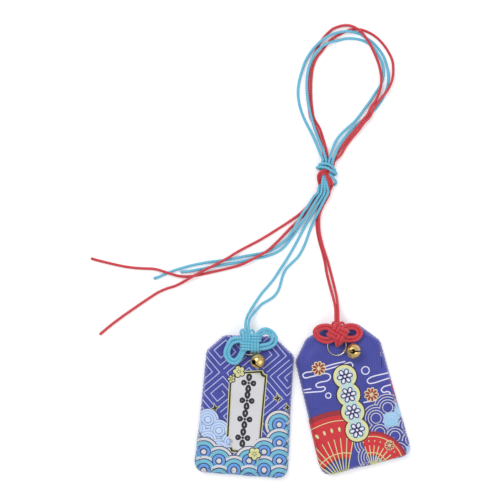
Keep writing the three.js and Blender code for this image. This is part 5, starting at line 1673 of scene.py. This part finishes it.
def right_print(side, charm):
    """All that is printed on the right pouch, from the lowest layer up."""
    for line in CLOUDS:
        ribbon(side, "cloud", photo_line(line), CLOUD_LINE, CLOUD_LIFT)
    for x, y, radius in CLOUD_RINGS:
        ribbon(side, "cloud", circle(photo(x, y), radius, steps=24), CLOUD_RING_LINE, CLOUD_LIFT, closed=True)
    wave_scales(side, charm)
    for pivot, radius, first, last, ribs, lift in FANS:
        fan(side, photo(*pivot), radius, first, last, ribs, lift)
    lobed_frame(side, charm)
    for x, y, size, lift in CHRYSANTHEMUMS:
        chrysanthemum(side, photo(x, y), size, lift)
    # A navy line painted as the shadow in the slit
    ribbon(side, "navy", photo_line(SLIT_SHADOW), SLIT_SHADOW_LINE, SLIT_SHADOW_LIFT)
    edge = [on_charm(charm, *np.add(charm["top"], place)) for place in RED_EDGE]
    ribbon(side, "red", edge, RED_LINE, RED_LIFT)


left_print("left", CHARMS["left"])
right_print("right", CHARMS["right"])
for (side, ink), parts in prints.items():
    verts, faces, _ = merged(parts)
    made = finish_mesh(side + "_print_" + ink, verts, faces, INKS[ink])
    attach(made, side + "_charm")


# Stitches: thread laid in even steps along a sewn line

def stitch_tree(thread):
    """A node tree that sets one rounded stitch at each step of a line."""
    tree = bpy.data.node_groups.new("stitch row", "GeometryNodeTree")
    tree.interface.new_socket("Line", in_out="INPUT", socket_type="NodeSocketGeometry")
    for name in ("Pitch", "Length", "Thickness"):
        tree.interface.new_socket(name, in_out="INPUT", socket_type="NodeSocketFloat")
    tree.interface.new_socket("Stitches", in_out="OUTPUT", socket_type="NodeSocketGeometry")
    given = add(tree, "NodeGroupInput").outputs
    steps = add(tree, "GeometryNodeResampleCurve", {
        "Curve": given["Line"], "Length": given["Pitch"]}, mode="LENGTH")
    heading = add(tree, "FunctionNodeAlignRotationToVector", {
        "Vector": add(tree, "GeometryNodeInputTangent").outputs[0]}, axis="X")
    bead = add(tree, "GeometryNodeMeshUVSphere", {"Segments": 10, "Rings": 8, "Radius": 0.5})
    size = add(tree, "ShaderNodeCombineXYZ", {
        "X": given["Length"], "Y": given["Thickness"], "Z": given["Thickness"]})
    row = add(tree, "GeometryNodeInstanceOnPoints", {
        "Points": steps.outputs["Curve"], "Instance": bead.outputs["Mesh"],
        "Rotation": heading.outputs["Rotation"], "Scale": size.outputs[0]})
    real = add(tree, "GeometryNodeRealizeInstances", {"Geometry": row.outputs["Instances"]})
    coloured = add(tree, "GeometryNodeSetMaterial", {
        "Geometry": real.outputs["Geometry"], "Material": thread})
    add(tree, "NodeGroupOutput", {"Stitches": coloured.outputs["Geometry"]})
    return tree


def stitch_row(name, side, line, tree, closed, **sizes):
    """Stitches along millimetre points, as a plain mesh that rides on the charm."""
    path = bpy.data.curves.new(name, "CURVE")
    path.dimensions = "3D"
    spline = path.splines.new("POLY")
    spline.points.add(len(line) - 1)
    spline.points.foreach_set("co", np.column_stack([np.asarray(line) * MM, np.ones(len(line))]).ravel())
    spline.use_cyclic_u = closed
    guide = bpy.data.objects.new(name + "_line", path)
    scene.collection.objects.link(guide)
    rows = guide.modifiers.new("stitches", "NODES")
    rows.node_group = tree
    for item in tree.interface.items_tree:
        if item.name in sizes:
            rows[item.identifier] = sizes[item.name] * MM
    shown = guide.evaluated_get(bpy.context.evaluated_depsgraph_get())
    mesh = bpy.data.meshes.new_from_object(shown)
    bpy.data.objects.remove(guide)
    mesh.polygons.foreach_set("use_smooth", [True] * len(mesh.polygons))
    made = bpy.data.objects.new(name, mesh)
    scene.collection.objects.link(made)
    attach(made, side + "_charm")


# Violet sewing thread of the side seams, and the pale thread at the top of the slit, each with painted shade
# between its fine threads
SEAM_THREAD = stitch_tree(woven("violet sewing thread", "5458B2", "464AA2", period=0.2, height=0.05))
SLIT_THREAD = stitch_tree(woven("pale sewing thread", "C9B9B4", "B9A8A6", period=0.2, height=0.05))
SEAM_STITCH = {"Pitch": 2.2, "Length": 1.5, "Thickness": 0.4}
SLIT_STITCH = {"Pitch": 1.5, "Length": 1.2, "Thickness": 0.4}
# How far down the side the seam is sewn, and the stitched stretch over the slit in the photo's pixels
SEAM_DEPTH = 2.0
SLIT_TOP = [(379.8, 352.4), (380, 353.6), (380.3, 355)]
SLIT_OVER = 0.1
for side, charm in CHARMS.items():
    spots, _ = lay(side, rounded_outline(charm, -SEAM_DEPTH))
    stitch_row(side + "_seam_stitches", side, spots, SEAM_THREAD, True, **SEAM_STITCH)
spots, out = lay("right", photo_line(SLIT_TOP))
stitch_row("right_slit_stitches", "right", spots + SLIT_OVER * out, SLIT_THREAD, False, **SLIT_STITCH)
